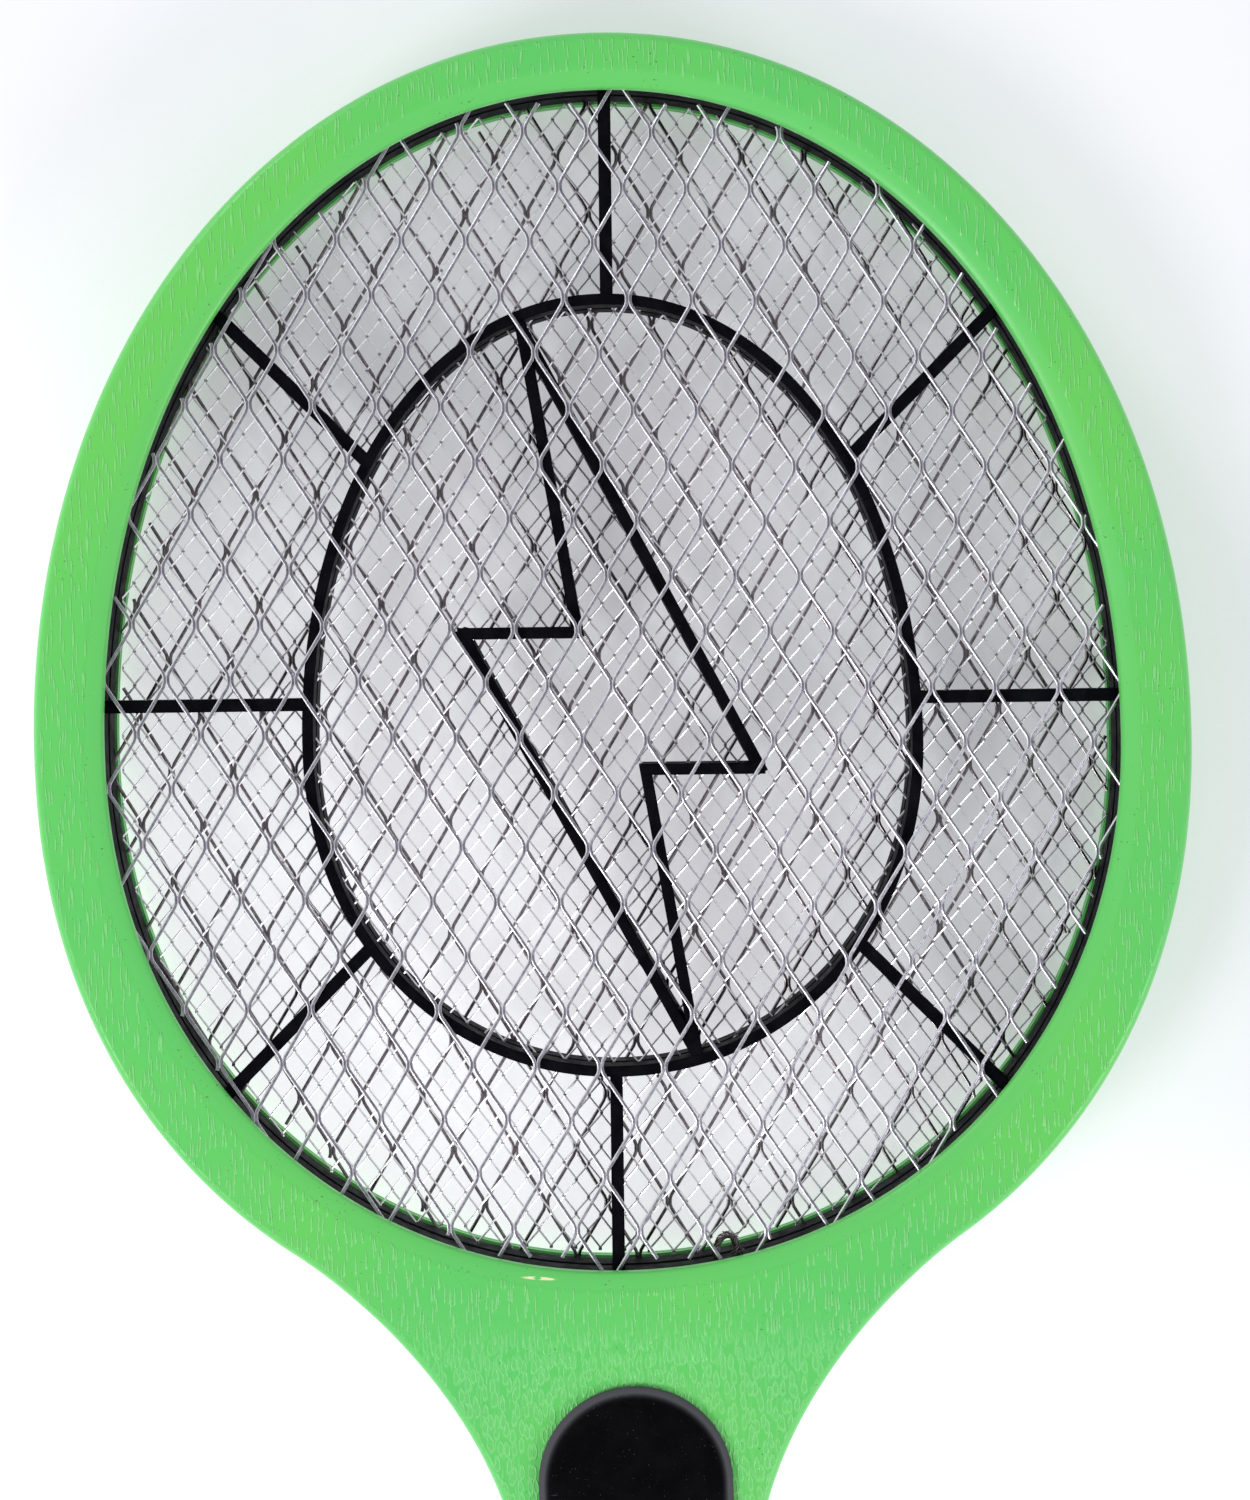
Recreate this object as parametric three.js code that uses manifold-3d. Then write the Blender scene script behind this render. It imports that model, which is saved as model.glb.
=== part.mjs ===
// Racket-type electric bug zapper: two green housing halves clamp three metal grids and two black webs in the
// head, and hold the high-voltage circuit, its switches and two cells in the handle.
// Millimetres. +X right, +Y from the handle to the head, +Z out of the front face. The back lies on Z = 0.
import * as THREE from "three";
import { mergeVertices } from "three/addons/utils/BufferGeometryUtils.js";
import Module from "manifold-3d";

const wasm = await Module();
wasm.setup();

// Overall sizes
const LENGTH = 480;
const BUTT_Y = -LENGTH / 2;
const TOP_Y = LENGTH / 2;
const GRIP_HALF_WIDTH = 20;
const HEAD_HALF_WIDTH = 100.8;
const FRONT_Z = 22;
const GRIP_FRONT_Z = 26;
const PARTING_Z = 11;
const GAP = 0.3;
const WALL = 2;
const LID = 3;

// The head's ovals share one centre. Each is two half superellipses, and the lower half is shorter.
const OVAL_CENTRE_Y = 116.9;
const HEAD_OVAL = {
  half: HEAD_HALF_WIDTH,
  up: TOP_Y - OVAL_CENTRE_Y,
  down: 104.3,
  upPower: 2.03,
  downPower: 2.14,
};
const OPENING_OVAL = { half: 88.6, up: 113.4, down: 92.3, upPower: 2.06, downPower: 2.06 };
const WEB_OVAL = { half: 54.4, up: 78.6, down: 58.5, upPower: 2.06, downPower: 2.06 };
const HEAD_STEPS = 26;
const NECK_STEPS = 9;
const NECK_ANGLE = -56;
const NECK_HEAD_PULL = new THREE.Vector2(55.2, 27.1);
const NECK_GRIP_PULL = new THREE.Vector2(GRIP_HALF_WIDTH, 2.7);
const NECK_END_Y = -37;

// Grip front rises behind the control panel to make room for the cells.
const RISE_START_Y = -108;
const RISE_END_Y = -140;
const COVER_START_Y = -150;
const BUTT_RADIUS = 12;

// Layers in the head, from the back. They rest on a raised seat round the rear opening.
const GRID_EDGE = 2.6;
const SEAT_WIDTH = 4;
const SEAT_Z = 4;
const REAR_GRID_Z = SEAT_Z + GAP;
const COARSE_THICK = 1;
const REAR_SPACER_Z = REAR_GRID_Z + COARSE_THICK + GAP;
const SPACER_THICK = 5.2;
const CENTRE_GRID_Z = REAR_SPACER_Z + SPACER_THICK + GAP;
const FINE_THICK = 0.6;
const FRONT_SPACER_Z = CENTRE_GRID_Z + FINE_THICK + GAP;
const FRONT_GRID_Z = FRONT_SPACER_Z + SPACER_THICK + GAP;

// Grids: oval plates pierced by diamonds, which keep the open share of expanded metal at a wider pitch
const DIAMOND_PITCH = new THREE.Vector2(16.5, 28.5);
const DIAMOND_HALF = new THREE.Vector2(6.45, 11.1);
const DIAMOND_ROWS = 8;
const DIAMOND_COLUMNS = 6;
const DIAMOND_MARGIN = 1;

// Webs: a ring that spaces the grids, an oval, eight spokes and a zigzag, turned a little in the housing
const WEB_CENTRE = new THREE.Vector2(0, 124.5);
const WEB_TURN = THREE.MathUtils.degToRad(-1.07);
const WEB_OVAL_WIDTH = 1.9;
const WEB_OVAL_STEPS = 22;
const SPOKE_COUNT = 8;
const SPOKE_WIDTH = 2.2;
const SPOKE_REACH = 130;
const RIB_WIDTH = 2;
const ZIGZAG_HALF = [
  new THREE.Vector2(-15, 65.4),
  new THREE.Vector2(-5.8, 12.1),
  new THREE.Vector2(-26, 12.1),
];
// The front web has a window in its ring where the centre grid's lead comes through.
const LEAD_WINDOW = { low: [14.4, 18, FRONT_SPACER_Z + 0.5], high: [20.8, 30, FRONT_SPACER_Z + 4.1] };

// Edges of the housing: a rounded outer edge, and a sloped lip round the opening
const EDGE_DROPS = [2.6, 0.9, 0];
const EDGE_INSETS = [0, 0.5, 1.8];
const THROAT_DEPTH = 2;
const LIP_FLARES = [1.2, 3.6, 3.9];
const LIP_MIDDLE = 0.55;

// Control panel and the parts under it
const PANEL_HALF_WIDTH = 17;
const PANEL_TOP_Y = 5;
const PANEL_BOTTOM_Y = -105;
const PANEL_TOP_Z = 23.8;
const PLUG_INSET = 1.8;
const LAMP_Y = -26;
const BUTTON_Y = -48;
const SLIDER_Y = -78;
const SLIDER_TRAVEL = 4;
const BOARD_Z = 11.4;
const BOARD_THICK = 1.6;
const BOARD_TOP_Z = BOARD_Z + BOARD_THICK;
const BOARD_HALF_WIDTH = 15;
const BOARD_TOP_Y = -14;
const BOARD_BOTTOM_Y = -100;
const BOARD_SCREW_Y = [-18, -95];
const UNDER_BOARD_Z = BOARD_Z - GAP;
const BUTTON = {
  radius: 6.5,
  flangeRadius: 7.8,
  bottom: 17.5,
  flangeTop: 18.7,
  shoulder: 24.7,
  rim: 25.3,
  top: 25.65,
};
const TACT_SWITCH = { half: 3, top: 15.9, boreRadius: 1.9, boreFloor: 13.8 };
const PLUNGER = { radius: 1.6, bottom: 15, top: 17.2 };
const SLIDE_SWITCH = { halfWidth: 3.6, halfLength: 7, top: 16.6 };
const SLIDE_SWITCH_SLOT = { halfWidth: 1.9, halfLength: 5.5, floor: 14.8 };
const KNOB = { bottom: 15.4, halfWidth: 3.6, halfLength: 3.5, padTop: 25.2, top: 25.9 };
const KNOB_STEM = { halfWidth: 1.5, halfLength: 1.6 };
const KNOB_RIDGES = { steps: [-2.4, 0, 2.4], half: 0.5, root: 24.8 };
const KNOB_SLOT_HALF_WIDTH = 2;
const LAMP = { radius: 1.5, flangeRadius: 1.9, flangeThick: 1, shoulderRadius: 1.1, rise: 0.9 };

// Parts under the board
const TRANSFORMER_Y = -52;
const CORE = { half: [7, 6], bottom: 4.6, top: 9.6, windowX: 3.5, windowHalf: [1.5, 4] };
const WINDING = { half: [4.7, 3.7], bottom: 3.5, top: 10.8 };
const WINDING_BORE = { halfWidth: 2.3, bottom: 4.3, top: 9.9 };
const STORAGE_CAPACITOR = { low: [-12, -90, 3.6], high: [-4.6, -70, UNDER_BOARD_Z] };
const TRANSISTOR = { low: [9, -60, 5.6], high: [13, -55.4, UNDER_BOARD_Z] };
const DISC = { x: [6, 9], z: 7, radius: 3.6, y: [-74, -84] };
const AXIAL_Y = -32;
const DIODES = { x: [-12, -8.5, -5], radius: 1.3 };
const RESISTORS = { x: [5.5, 9], radius: 1.15 };
const AXIAL = { bodyHalf: 2.6, pinHalf: 5.2, pinRadius: 0.35 };
const LEAD_RADIUS = 0.75;

// Screws that join the halves from the back
const SCREW_ANGLES = [58, 12, -28, -66];
const SCREW_OFFSET = 5.5;
const HANDLE_SCREW = new THREE.Vector2(14.4, -112);
const BOSS_RADIUS = 2.75;
const PILOT_RADIUS = 1.3;
const SHANK_RADIUS = 1;
const SCREW_HEAD_RADIUS = 2;
const SCREW_POCKET_DEPTH = 1.9;
const SCREW_HEAD_THICK = 1.3;
const SCREW_POINT = 0.8;

// Two cells side by side
const CELL_RADIUS = 7.1;
const CELL_LENGTH = 50.5;
const CELL_X = 7.55;
const CELL_Z = 10.8;
const TRAY_HALF_WIDTH = 16.8;
const TRAY_TOP_Y = -160;
const TRAY_BOTTOM_Y = -223.5;
const TRAY_WALL = 1.6;
const TRAY_Z = [5, 19.6];
const TRAY_ROOF = 1.3;
const TAB_WINDOW = { half: 2.2, low: 8, high: 13 };
const CONTACT_THICK = 0.5;
const CONTACT_Z = [5.6, 16];
const CONTACT_HALF = 6;
const TAB = { half: 1.8, low: 8.4, high: 12.6, reach: 1.5 };
const BRIDGE_HALF = 14;
const FRONT_CONTACT_Y = TRAY_TOP_Y - TRAY_WALL - GAP;
const REAR_CONTACT_Y = TRAY_BOTTOM_Y + TRAY_WALL + GAP;
const NUB = { radius: 2.7, height: 1.2 };
const SPRING = { turns: 3, perTurn: 8, wide: 4.6, narrow: 3, wire: 0.4, endGap: 0.8, cellGap: 1.1 };

// Battery cover: a tongue under the rear shell, and finger grooves
const TONGUE = { half: 3.5, root: 7, clear: 1, tip: 5, thick: 1.4 };
const GROOVE = { count: 5, first: 14, step: 3.2, half: 9, halfWidth: 0.7, depth: 0.6 };

const degrees = THREE.MathUtils.degToRad;

function finish(color, roughness, metalness) {
  return new THREE.MeshStandardMaterial({ color, roughness, metalness });
}

const GREEN = finish(0x6ed26e, 0.4, 0);
const BLACK = finish(0x0d0e13, 0.45, 0);
const GRID_METAL = finish(0xb4b4c0, 0.35, 1);
const STEEL = finish(0xa8a8ac, 0.35, 1);
const COPPER = finish(0xb06030, 0.4, 1);
const BOARD_GREEN = finish(0x2f6b3a, 0.6, 0);
const FERRITE = finish(0x2c2c30, 0.7, 0);
const TAN = finish(0xc9a24a, 0.5, 0);
const RED = finish(0xa8281e, 0.45, 0);
const CELL_WRAP = finish(0x33518c, 0.35, 0);
const CLEAR_RED = finish(0xd63a2a, 0.2, 0);

// A three.js geometry as a manifold solid
function solid(geometry) {
  const bare = geometry.clone();
  bare.deleteAttribute("normal");
  bare.deleteAttribute("uv");
  const merged = mergeVertices(bare, 1e-4);
  return new wasm.Manifold(
    new wasm.Mesh({
      numProp: 3,
      vertProperties: merged.attributes.position.array,
      triVerts: new Uint32Array(merged.index.array),
    }),
  );
}

function geometryOf(manifold) {
  const mesh = manifold.getMesh();
  const geometry = new THREE.BufferGeometry();
  geometry.setAttribute("position", new THREE.BufferAttribute(mesh.vertProperties, 3));
  geometry.setIndex(new THREE.BufferAttribute(mesh.triVerts, 1));
  return geometry;
}

const model = new THREE.Group();

function addNode(name, shape, material) {
  const mesh = new THREE.Mesh(geometryOf(shape), material);
  mesh.name = name;
  model.add(mesh);
}

// Plain bodies, already in place
function box(low, high) {
  const size = new THREE.Vector3(...high).sub(new THREE.Vector3(...low));
  const middle = new THREE.Vector3(...high).add(new THREE.Vector3(...low)).multiplyScalar(0.5);
  return solid(new THREE.BoxGeometry(size.x, size.y, size.z).translate(middle.x, middle.y, middle.z));
}

function post(x, y, bottom, top, radius, sides = 14) {
  const cylinder = new THREE.CylinderGeometry(radius, radius, top - bottom, sides);
  return solid(cylinder.rotateX(Math.PI / 2).translate(x, y, (bottom + top) / 2));
}

// A body of revolution: profile of [radius, height] pairs turned about +Z
function turned(profile, sides = 14) {
  const points = profile.map(([radius, height]) => new THREE.Vector2(radius, height));
  return new THREE.LatheGeometry(points, sides).rotateX(Math.PI / 2);
}

// Outlines list the right half only, from the top point on the axis to the bottom point on the axis.
function signedPower(value, power) {
  return Math.sign(value) * Math.abs(value) ** power;
}

function ovalPoint(oval, angle, grow = 0) {
  const upper = Math.sin(degrees(angle)) >= 0;
  const rise = upper ? oval.up : oval.down;
  const power = 2 / (upper ? oval.upPower : oval.downPower);
  const x = (oval.half + grow) * signedPower(Math.cos(degrees(angle)), power);
  const y = (rise + grow) * signedPower(Math.sin(degrees(angle)), power);
  return new THREE.Vector2(x, OVAL_CENTRE_Y + y);
}

function ovalOutline(oval, grow = 0, steps = 30) {
  return Array.from({ length: steps + 1 }, (_, i) => {
    const point = ovalPoint(oval, 90 - (180 * i) / steps, grow);
    if (i === 0 || i === steps) point.x = 0;
    return point;
  });
}

function racketOutline() {
  const head = Array.from({ length: HEAD_STEPS }, (_, i) =>
    ovalPoint(HEAD_OVAL, 90 - ((90 - NECK_ANGLE) * i) / HEAD_STEPS),
  );
  head[0].x = 0;
  const neck = new THREE.CubicBezierCurve(
    ovalPoint(HEAD_OVAL, NECK_ANGLE),
    NECK_HEAD_PULL,
    NECK_GRIP_PULL,
    new THREE.Vector2(GRIP_HALF_WIDTH, NECK_END_Y),
  ).getPoints(NECK_STEPS);
  const rise = Array.from({ length: 5 }, (_, i) =>
    new THREE.Vector2(GRIP_HALF_WIDTH, RISE_START_Y + ((RISE_END_Y - RISE_START_Y) * i) / 4),
  );
  const butt = Array.from({ length: 5 }, (_, i) => {
    const turn = degrees((-90 * i) / 4);
    return new THREE.Vector2(
      GRIP_HALF_WIDTH - BUTT_RADIUS + BUTT_RADIUS * Math.cos(turn),
      BUTT_Y + BUTT_RADIUS + BUTT_RADIUS * Math.sin(turn),
    );
  });
  const coverEnds = [new THREE.Vector2(GRIP_HALF_WIDTH, COVER_START_Y)];
  return [...head, ...neck, ...rise, ...coverEnds, ...butt, new THREE.Vector2(0, BUTT_Y)];
}

// Stadium: straight sides with a half round at each end
function stadiumOutline(halfWidth, topY, bottomY, steps = 8) {
  const arc = (centreY, from) =>
    Array.from({ length: steps + 1 }, (_, i) => {
      const turn = degrees(from - (90 * i) / steps);
      return new THREE.Vector2(halfWidth * Math.cos(turn), centreY + halfWidth * Math.sin(turn));
    });
  const outline = [...arc(topY - halfWidth, 90), ...arc(bottomY + halfWidth, 0)];
  outline[0].x = 0;
  outline[outline.length - 1].x = 0;
  return outline;
}

function closeOutline(outline) {
  const left = outline.slice(1, -1).reverse();
  return [...outline, ...left.map((point) => new THREE.Vector2(-point.x, point.y))];
}

// Moves each point of a closed, clockwise outline inwards, keeping parallel sides parallel.
function insetLoop(loop, inset) {
  return loop.map((point, i) => {
    const before = point.clone().sub(loop.at(i - 1)).normalize();
    const after = loop[(i + 1) % loop.length].clone().sub(point).normalize();
    const inward = new THREE.Vector2(before.y + after.y, -before.x - after.x).normalize();
    const slant = Math.max(0.5, inward.dot(new THREE.Vector2(after.y, -after.x)));
    return point.clone().addScaledVector(inward, inset / slant);
  });
}

// A closed body of symmetric rings. Each level insets the outline and sets its height,
// which is a number or a function of Y.
function stacked(outline, levels) {
  const loop = closeOutline(outline);
  const count = loop.length;
  const half = outline.length;
  const positions = [];
  for (const { inset, z } of levels) {
    for (const point of insetLoop(loop, inset)) {
      positions.push(point.x, point.y, typeof z === "function" ? z(point.y) : z);
    }
  }
  const faces = [];
  for (let level = 0; level < levels.length - 1; level += 1) {
    for (let i = 0; i < count; i += 1) {
      const a = level * count + i;
      const b = level * count + ((i + 1) % count);
      faces.push(b, a, a + count, b, a + count, b + count);
    }
  }
  const last = (levels.length - 1) * count;
  for (let i = 0; i < half - 1; i += 1) {
    const leftHere = (count - i) % count;
    const leftNext = (count - i - 1) % count;
    if (i > 0) {
      faces.push(last + i, last + leftHere, last + leftNext, i, leftNext, leftHere);
    }
    if (i < half - 2) {
      faces.push(last + i, last + leftNext, last + i + 1, i, i + 1, leftNext);
    }
  }
  const geometry = new THREE.BufferGeometry();
  geometry.setAttribute("position", new THREE.Float32BufferAttribute(positions, 3));
  geometry.setIndex(faces);
  return solid(geometry);
}

function slab(outline, bottom, top) {
  return stacked(outline, [
    { inset: 0, z: bottom },
    { inset: 0, z: top },
  ]);
}

// Height of the front surface along the handle
function frontHeight(y) {
  const along = THREE.MathUtils.smoothstep(-y, -RISE_START_Y, -RISE_END_Y);
  return THREE.MathUtils.lerp(FRONT_Z, GRIP_FRONT_Z, along);
}

function screwPlaces() {
  const rim = SCREW_ANGLES.map((angle) => ovalPoint(OPENING_OVAL, angle, SCREW_OFFSET));
  return [...rim, HANDLE_SCREW].flatMap(({ x, y }) => [new THREE.Vector2(x, y), new THREE.Vector2(-x, y)]);
}

// Clears the opening and slopes its lip; away is +1 for the front face at faceZ and -1 for the back.
function openingCutter(faceZ, away) {
  const throatZ = faceZ - away * THROAT_DEPTH;
  const levels = [
    { inset: 0, z: PARTING_Z },
    { inset: 0, z: throatZ },
    { inset: -LIP_FLARES[0], z: throatZ + LIP_MIDDLE * (faceZ - throatZ) },
    { inset: -LIP_FLARES[1], z: faceZ },
    { inset: -LIP_FLARES[2], z: faceZ + away },
  ];
  return stacked(ovalOutline(OPENING_OVAL), away > 0 ? levels : levels.reverse());
}

function frontShell() {
  const outline = racketOutline();
  const bottom = PARTING_Z + GAP / 2;
  const edge = EDGE_INSETS.map((inset, i) => ({ inset, z: (y) => frontHeight(y) - EDGE_DROPS[i] }));
  const outside = stacked(outline, [{ inset: 0, z: bottom }, ...edge]);
  const inside = stacked(outline, [
    { inset: WALL, z: bottom - 1 },
    { inset: WALL, z: (y) => frontHeight(y) - LID },
  ]);
  const plugHalf = PANEL_HALF_WIDTH - PLUG_INSET + GAP;
  const plugOutline = stadiumOutline(plugHalf, PANEL_TOP_Y - PLUG_INSET, PANEL_BOTTOM_Y + PLUG_INSET);
  const plugHole = slab(plugOutline, FRONT_Z - LID - 1, FRONT_Z + 1);
  let shell = outside.subtract(inside).subtract(openingCutter(FRONT_Z, 1)).subtract(plugHole);
  for (const { x, y } of screwPlaces()) {
    shell = shell.add(post(x, y, bottom, FRONT_Z - LID + 0.5, BOSS_RADIUS, 10));
    shell = shell.subtract(post(x, y, bottom - 1, FRONT_Z - LID - 1.5, PILOT_RADIUS, 8));
  }
  return shell;
}

// The rear halves of the racket as one tray, before it is divided into the rear shell and the battery cover
function backTray() {
  const outline = racketOutline();
  const edge = EDGE_INSETS.map((inset, i) => ({ inset, z: EDGE_DROPS[i] })).reverse();
  const outside = stacked(outline, [...edge, { inset: 0, z: PARTING_Z - GAP / 2 }]);
  const inside = stacked(outline, [
    { inset: WALL, z: LID },
    { inset: WALL, z: PARTING_Z + 1 },
  ]);
  return outside.subtract(inside);
}

function rearShell() {
  const coverSpace = box([-30, BUTT_Y - 5, -1], [30, COVER_START_Y, FRONT_Z]);
  const seat = slab(ovalOutline(OPENING_OVAL, SEAT_WIDTH), LID - 0.5, SEAT_Z);
  let shell = backTray().add(seat).subtract(coverSpace).subtract(openingCutter(0, -1));
  for (const { x, y } of screwPlaces()) {
    shell = shell.add(post(x, y, LID - 0.5, PARTING_Z - GAP / 2, BOSS_RADIUS, 10));
    shell = shell.subtract(post(x, y, -1, PARTING_Z + 1, PILOT_RADIUS, 8));
    shell = shell.subtract(post(x, y, -1, SCREW_POCKET_DEPTH, SCREW_HEAD_RADIUS + GAP, 12));
  }
  return shell;
}

// The cover is the rear of the grip. Its tongue runs under the rear shell, and it slides off over the butt.
function batteryCover() {
  const start = COVER_START_Y - GAP;
  const { half, root, clear, tip, thick } = TONGUE;
  const tongueRoot = box([-half, start - root, LID - 0.5], [half, start - clear, LID + thick]);
  const tongueTip = box([-half, start - root, LID + GAP], [half, start + tip, LID + thick]);
  let cover = backTray().intersect(box([-30, BUTT_Y - 5, -1], [30, start, FRONT_Z]));
  cover = cover.add(tongueRoot).add(tongueTip);
  for (let groove = 0; groove < GROOVE.count; groove += 1) {
    const y = start - GROOVE.first - GROOVE.step * groove;
    const low = [-GROOVE.half, y - GROOVE.halfWidth, -1];
    cover = cover.subtract(box(low, [GROOVE.half, y + GROOVE.halfWidth, GROOVE.depth]));
  }
  return cover;
}

function insideOpening(x, y, margin) {
  const rise = y > OVAL_CENTRE_Y ? OPENING_OVAL.up : OPENING_OVAL.down;
  const across = Math.abs(x) / (OPENING_OVAL.half - margin);
  const along = Math.abs(y - OVAL_CENTRE_Y) / (rise - margin);
  return across ** OPENING_OVAL.upPower + along ** OPENING_OVAL.upPower < 1;
}

function diamondHole(x, y) {
  const corners = [
    new THREE.Vector2(x + DIAMOND_HALF.x, y),
    new THREE.Vector2(x, y + DIAMOND_HALF.y),
    new THREE.Vector2(x - DIAMOND_HALF.x, y),
    new THREE.Vector2(x, y - DIAMOND_HALF.y),
  ];
  const fits = corners.every((corner) => insideOpening(corner.x, corner.y, DIAMOND_MARGIN));
  return fits ? new THREE.Path(corners) : null;
}

function gridPlate(bottom, thickness) {
  const shape = new THREE.Shape(closeOutline(ovalOutline(OPENING_OVAL, GRID_EDGE)));
  for (let row = -DIAMOND_ROWS; row <= DIAMOND_ROWS; row += 1) {
    for (let column = -DIAMOND_COLUMNS; column <= DIAMOND_COLUMNS; column += 1) {
      const x = (column + (row % 2 === 0 ? 0 : 0.5)) * DIAMOND_PITCH.x;
      const hole = diamondHole(x, WEB_CENTRE.y + (row * DIAMOND_PITCH.y) / 2);
      if (hole) shape.holes.push(hole);
    }
  }
  const plate = new THREE.ExtrudeGeometry(shape, { depth: thickness, bevelEnabled: false });
  return solid(plate.translate(0, 0, bottom));
}

function rib(from, to, width, bottom) {
  const run = to.clone().sub(from);
  const middle = from.clone().add(to).multiplyScalar(0.5);
  const bar = new THREE.BoxGeometry(run.length() + width * 0.6, width, SPACER_THICK);
  return solid(bar.rotateZ(run.angle()).translate(middle.x, middle.y, bottom + SPACER_THICK / 2));
}

// One web: the spokes stop at the oval, and the zigzag inside it is two turned halves
function spacerWeb(bottom) {
  const top = bottom + SPACER_THICK;
  const origin = new THREE.Vector2();
  const rim = slab(ovalOutline(OPENING_OVAL, GRID_EDGE), bottom, top);
  const clear = slab(ovalOutline(OPENING_OVAL, -GAP), bottom - 1, top + 1);
  const oval = slab(ovalOutline(WEB_OVAL, 0, WEB_OVAL_STEPS), bottom, top);
  const ovalInside = slab(ovalOutline(WEB_OVAL, -WEB_OVAL_WIDTH, WEB_OVAL_STEPS), bottom - 1, top + 1);
  let web = rim.subtract(clear);
  for (let i = 0; i < SPOKE_COUNT; i += 1) {
    const turn = WEB_TURN + (i * 2 * Math.PI) / SPOKE_COUNT;
    const end = new THREE.Vector2(SPOKE_REACH, 0).rotateAround(origin, turn).add(WEB_CENTRE);
    web = web.add(rib(WEB_CENTRE, end, SPOKE_WIDTH, bottom).intersect(rim));
  }
  web = web.add(oval).subtract(ovalInside);
  const corners = [...ZIGZAG_HALF, ...ZIGZAG_HALF.map((corner) => corner.clone().negate())].map((corner) =>
    corner.clone().rotateAround(origin, WEB_TURN).add(WEB_CENTRE),
  );
  corners.forEach((corner, i) => {
    web = web.add(rib(corner, corners[(i + 1) % corners.length], RIB_WIDTH, bottom).intersect(oval));
  });
  return web;
}

function frontSpacer() {
  return spacerWeb(FRONT_SPACER_Z).subtract(box(LEAD_WINDOW.low, LEAD_WINDOW.high));
}

// Leads and other round wire along a smooth route
function wire(route, radius, steps, sides = 6) {
  const section = Array.from({ length: sides }, (_, i) => {
    const turn = (2 * Math.PI * i) / sides;
    return new THREE.Vector2(radius * Math.cos(turn), radius * Math.sin(turn));
  });
  const extrudePath = new THREE.CatmullRomCurve3(route.map((point) => new THREE.Vector3(...point)));
  const options = { steps, extrudePath, bevelEnabled: false };
  return solid(new THREE.ExtrudeGeometry(new THREE.Shape(section), options));
}

function gridSplice() {
  const route = [
    [15.9, 22.6, 14.2],
    [15.7, 26, 14.4],
    [16.4, 28.9, 14.5],
    [18.2, 29.6, 14.4],
    [19.3, 28, 14.3],
    [19.2, 25.8, 14.2],
  ];
  return wire(route, 0.8, 14);
}

function centreGridLead() {
  const route = [
    [8, BOARD_TOP_Y + 0.4, 12.2],
    [8.4, -4, 12.3],
    [10, 8, 13],
    [14.6, 17, 14],
    [15.9, 22.2, 14.2],
  ];
  return wire(route, LEAD_RADIUS, 10);
}

// Joins the two outer grids to the board: an upright between the edges of the plates, and a lead
function outerGridLead() {
  const edge = [-16, 22.1];
  const route = [
    [-8, BOARD_TOP_Y + 0.4, 12.2],
    [-8.4, -4, 12.2],
    [-10, 8, 11.6],
    [-14.6, 16, 11],
    [edge[0], edge[1], 11],
  ];
  const upright = post(edge[0], edge[1], REAR_GRID_Z, FRONT_GRID_Z + COARSE_THICK, 0.6, 8);
  return wire(route, LEAD_RADIUS, 10).add(upright);
}

function batteryLead(side) {
  const route = [
    [side * CELL_X, TRAY_TOP_Y + 2.4, 10.5],
    [side * 9, -148, 10.4],
    [side * 10, -132, 10],
    [side * 10, -116, 10],
    [side * 9, -105, 11.4],
    [side * 8.6, BOARD_BOTTOM_Y - 0.4, 12.2],
  ];
  return wire(route, LEAD_RADIUS, 12);
}

// Control panel: a soft-edged flange on the face, a plug through it and two pillars for the board
function controlPanel() {
  const flange = stacked(stadiumOutline(PANEL_HALF_WIDTH, PANEL_TOP_Y, PANEL_BOTTOM_Y), [
    { inset: 0, z: FRONT_Z + GAP },
    { inset: 0, z: PANEL_TOP_Z - 0.9 },
    { inset: 0.4, z: PANEL_TOP_Z - 0.4 },
    { inset: 1.7, z: PANEL_TOP_Z },
  ]);
  const plugOutline = stadiumOutline(
    PANEL_HALF_WIDTH - PLUG_INSET,
    PANEL_TOP_Y - PLUG_INSET - GAP,
    PANEL_BOTTOM_Y + PLUG_INSET + GAP,
  );
  let panel = flange.add(slab(plugOutline, FRONT_Z - LID, PANEL_TOP_Z - 1));
  for (const y of BOARD_SCREW_Y) {
    panel = panel.add(post(0, y, BOARD_TOP_Z + GAP, FRONT_Z - LID + 0.5, BOSS_RADIUS, 12));
    panel = panel.subtract(post(0, y, BOARD_TOP_Z, FRONT_Z - LID - 1, PILOT_RADIUS, 8));
  }
  const slot = SLIDER_TRAVEL / 2 + KNOB_STEM.halfLength + 0.5;
  const above = PANEL_TOP_Z + 1;
  const slotLow = [-KNOB_SLOT_HALF_WIDTH, SLIDER_Y - slot, 0];
  return panel
    .subtract(post(0, BUTTON_Y, 0, above, BUTTON.radius + GAP, 24))
    .subtract(post(0, LAMP_Y, 0, above, LAMP.radius + GAP, 12))
    .subtract(box(slotLow, [KNOB_SLOT_HALF_WIDTH, SLIDER_Y + slot, above]));
}

function pushButton() {
  const profile = [
    [0, BUTTON.bottom],
    [BUTTON.flangeRadius, BUTTON.bottom],
    [BUTTON.flangeRadius, BUTTON.flangeTop],
    [BUTTON.radius, BUTTON.flangeTop],
    [BUTTON.radius, BUTTON.shoulder],
    [BUTTON.radius - 0.7, BUTTON.rim],
    [BUTTON.radius / 2, BUTTON.top - 0.05],
    [0, BUTTON.top],
  ];
  return solid(turned(profile, 24).translate(0, BUTTON_Y, 0));
}

// Momentary switch under the button, with a well for its plunger
function switchBody() {
  const { half, top, boreRadius, boreFloor } = TACT_SWITCH;
  const body = box([-half, BUTTON_Y - half, BOARD_TOP_Z + GAP], [half, BUTTON_Y + half, top]);
  return body.subtract(post(0, BUTTON_Y, boreFloor, top + 1, boreRadius, 12));
}

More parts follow.
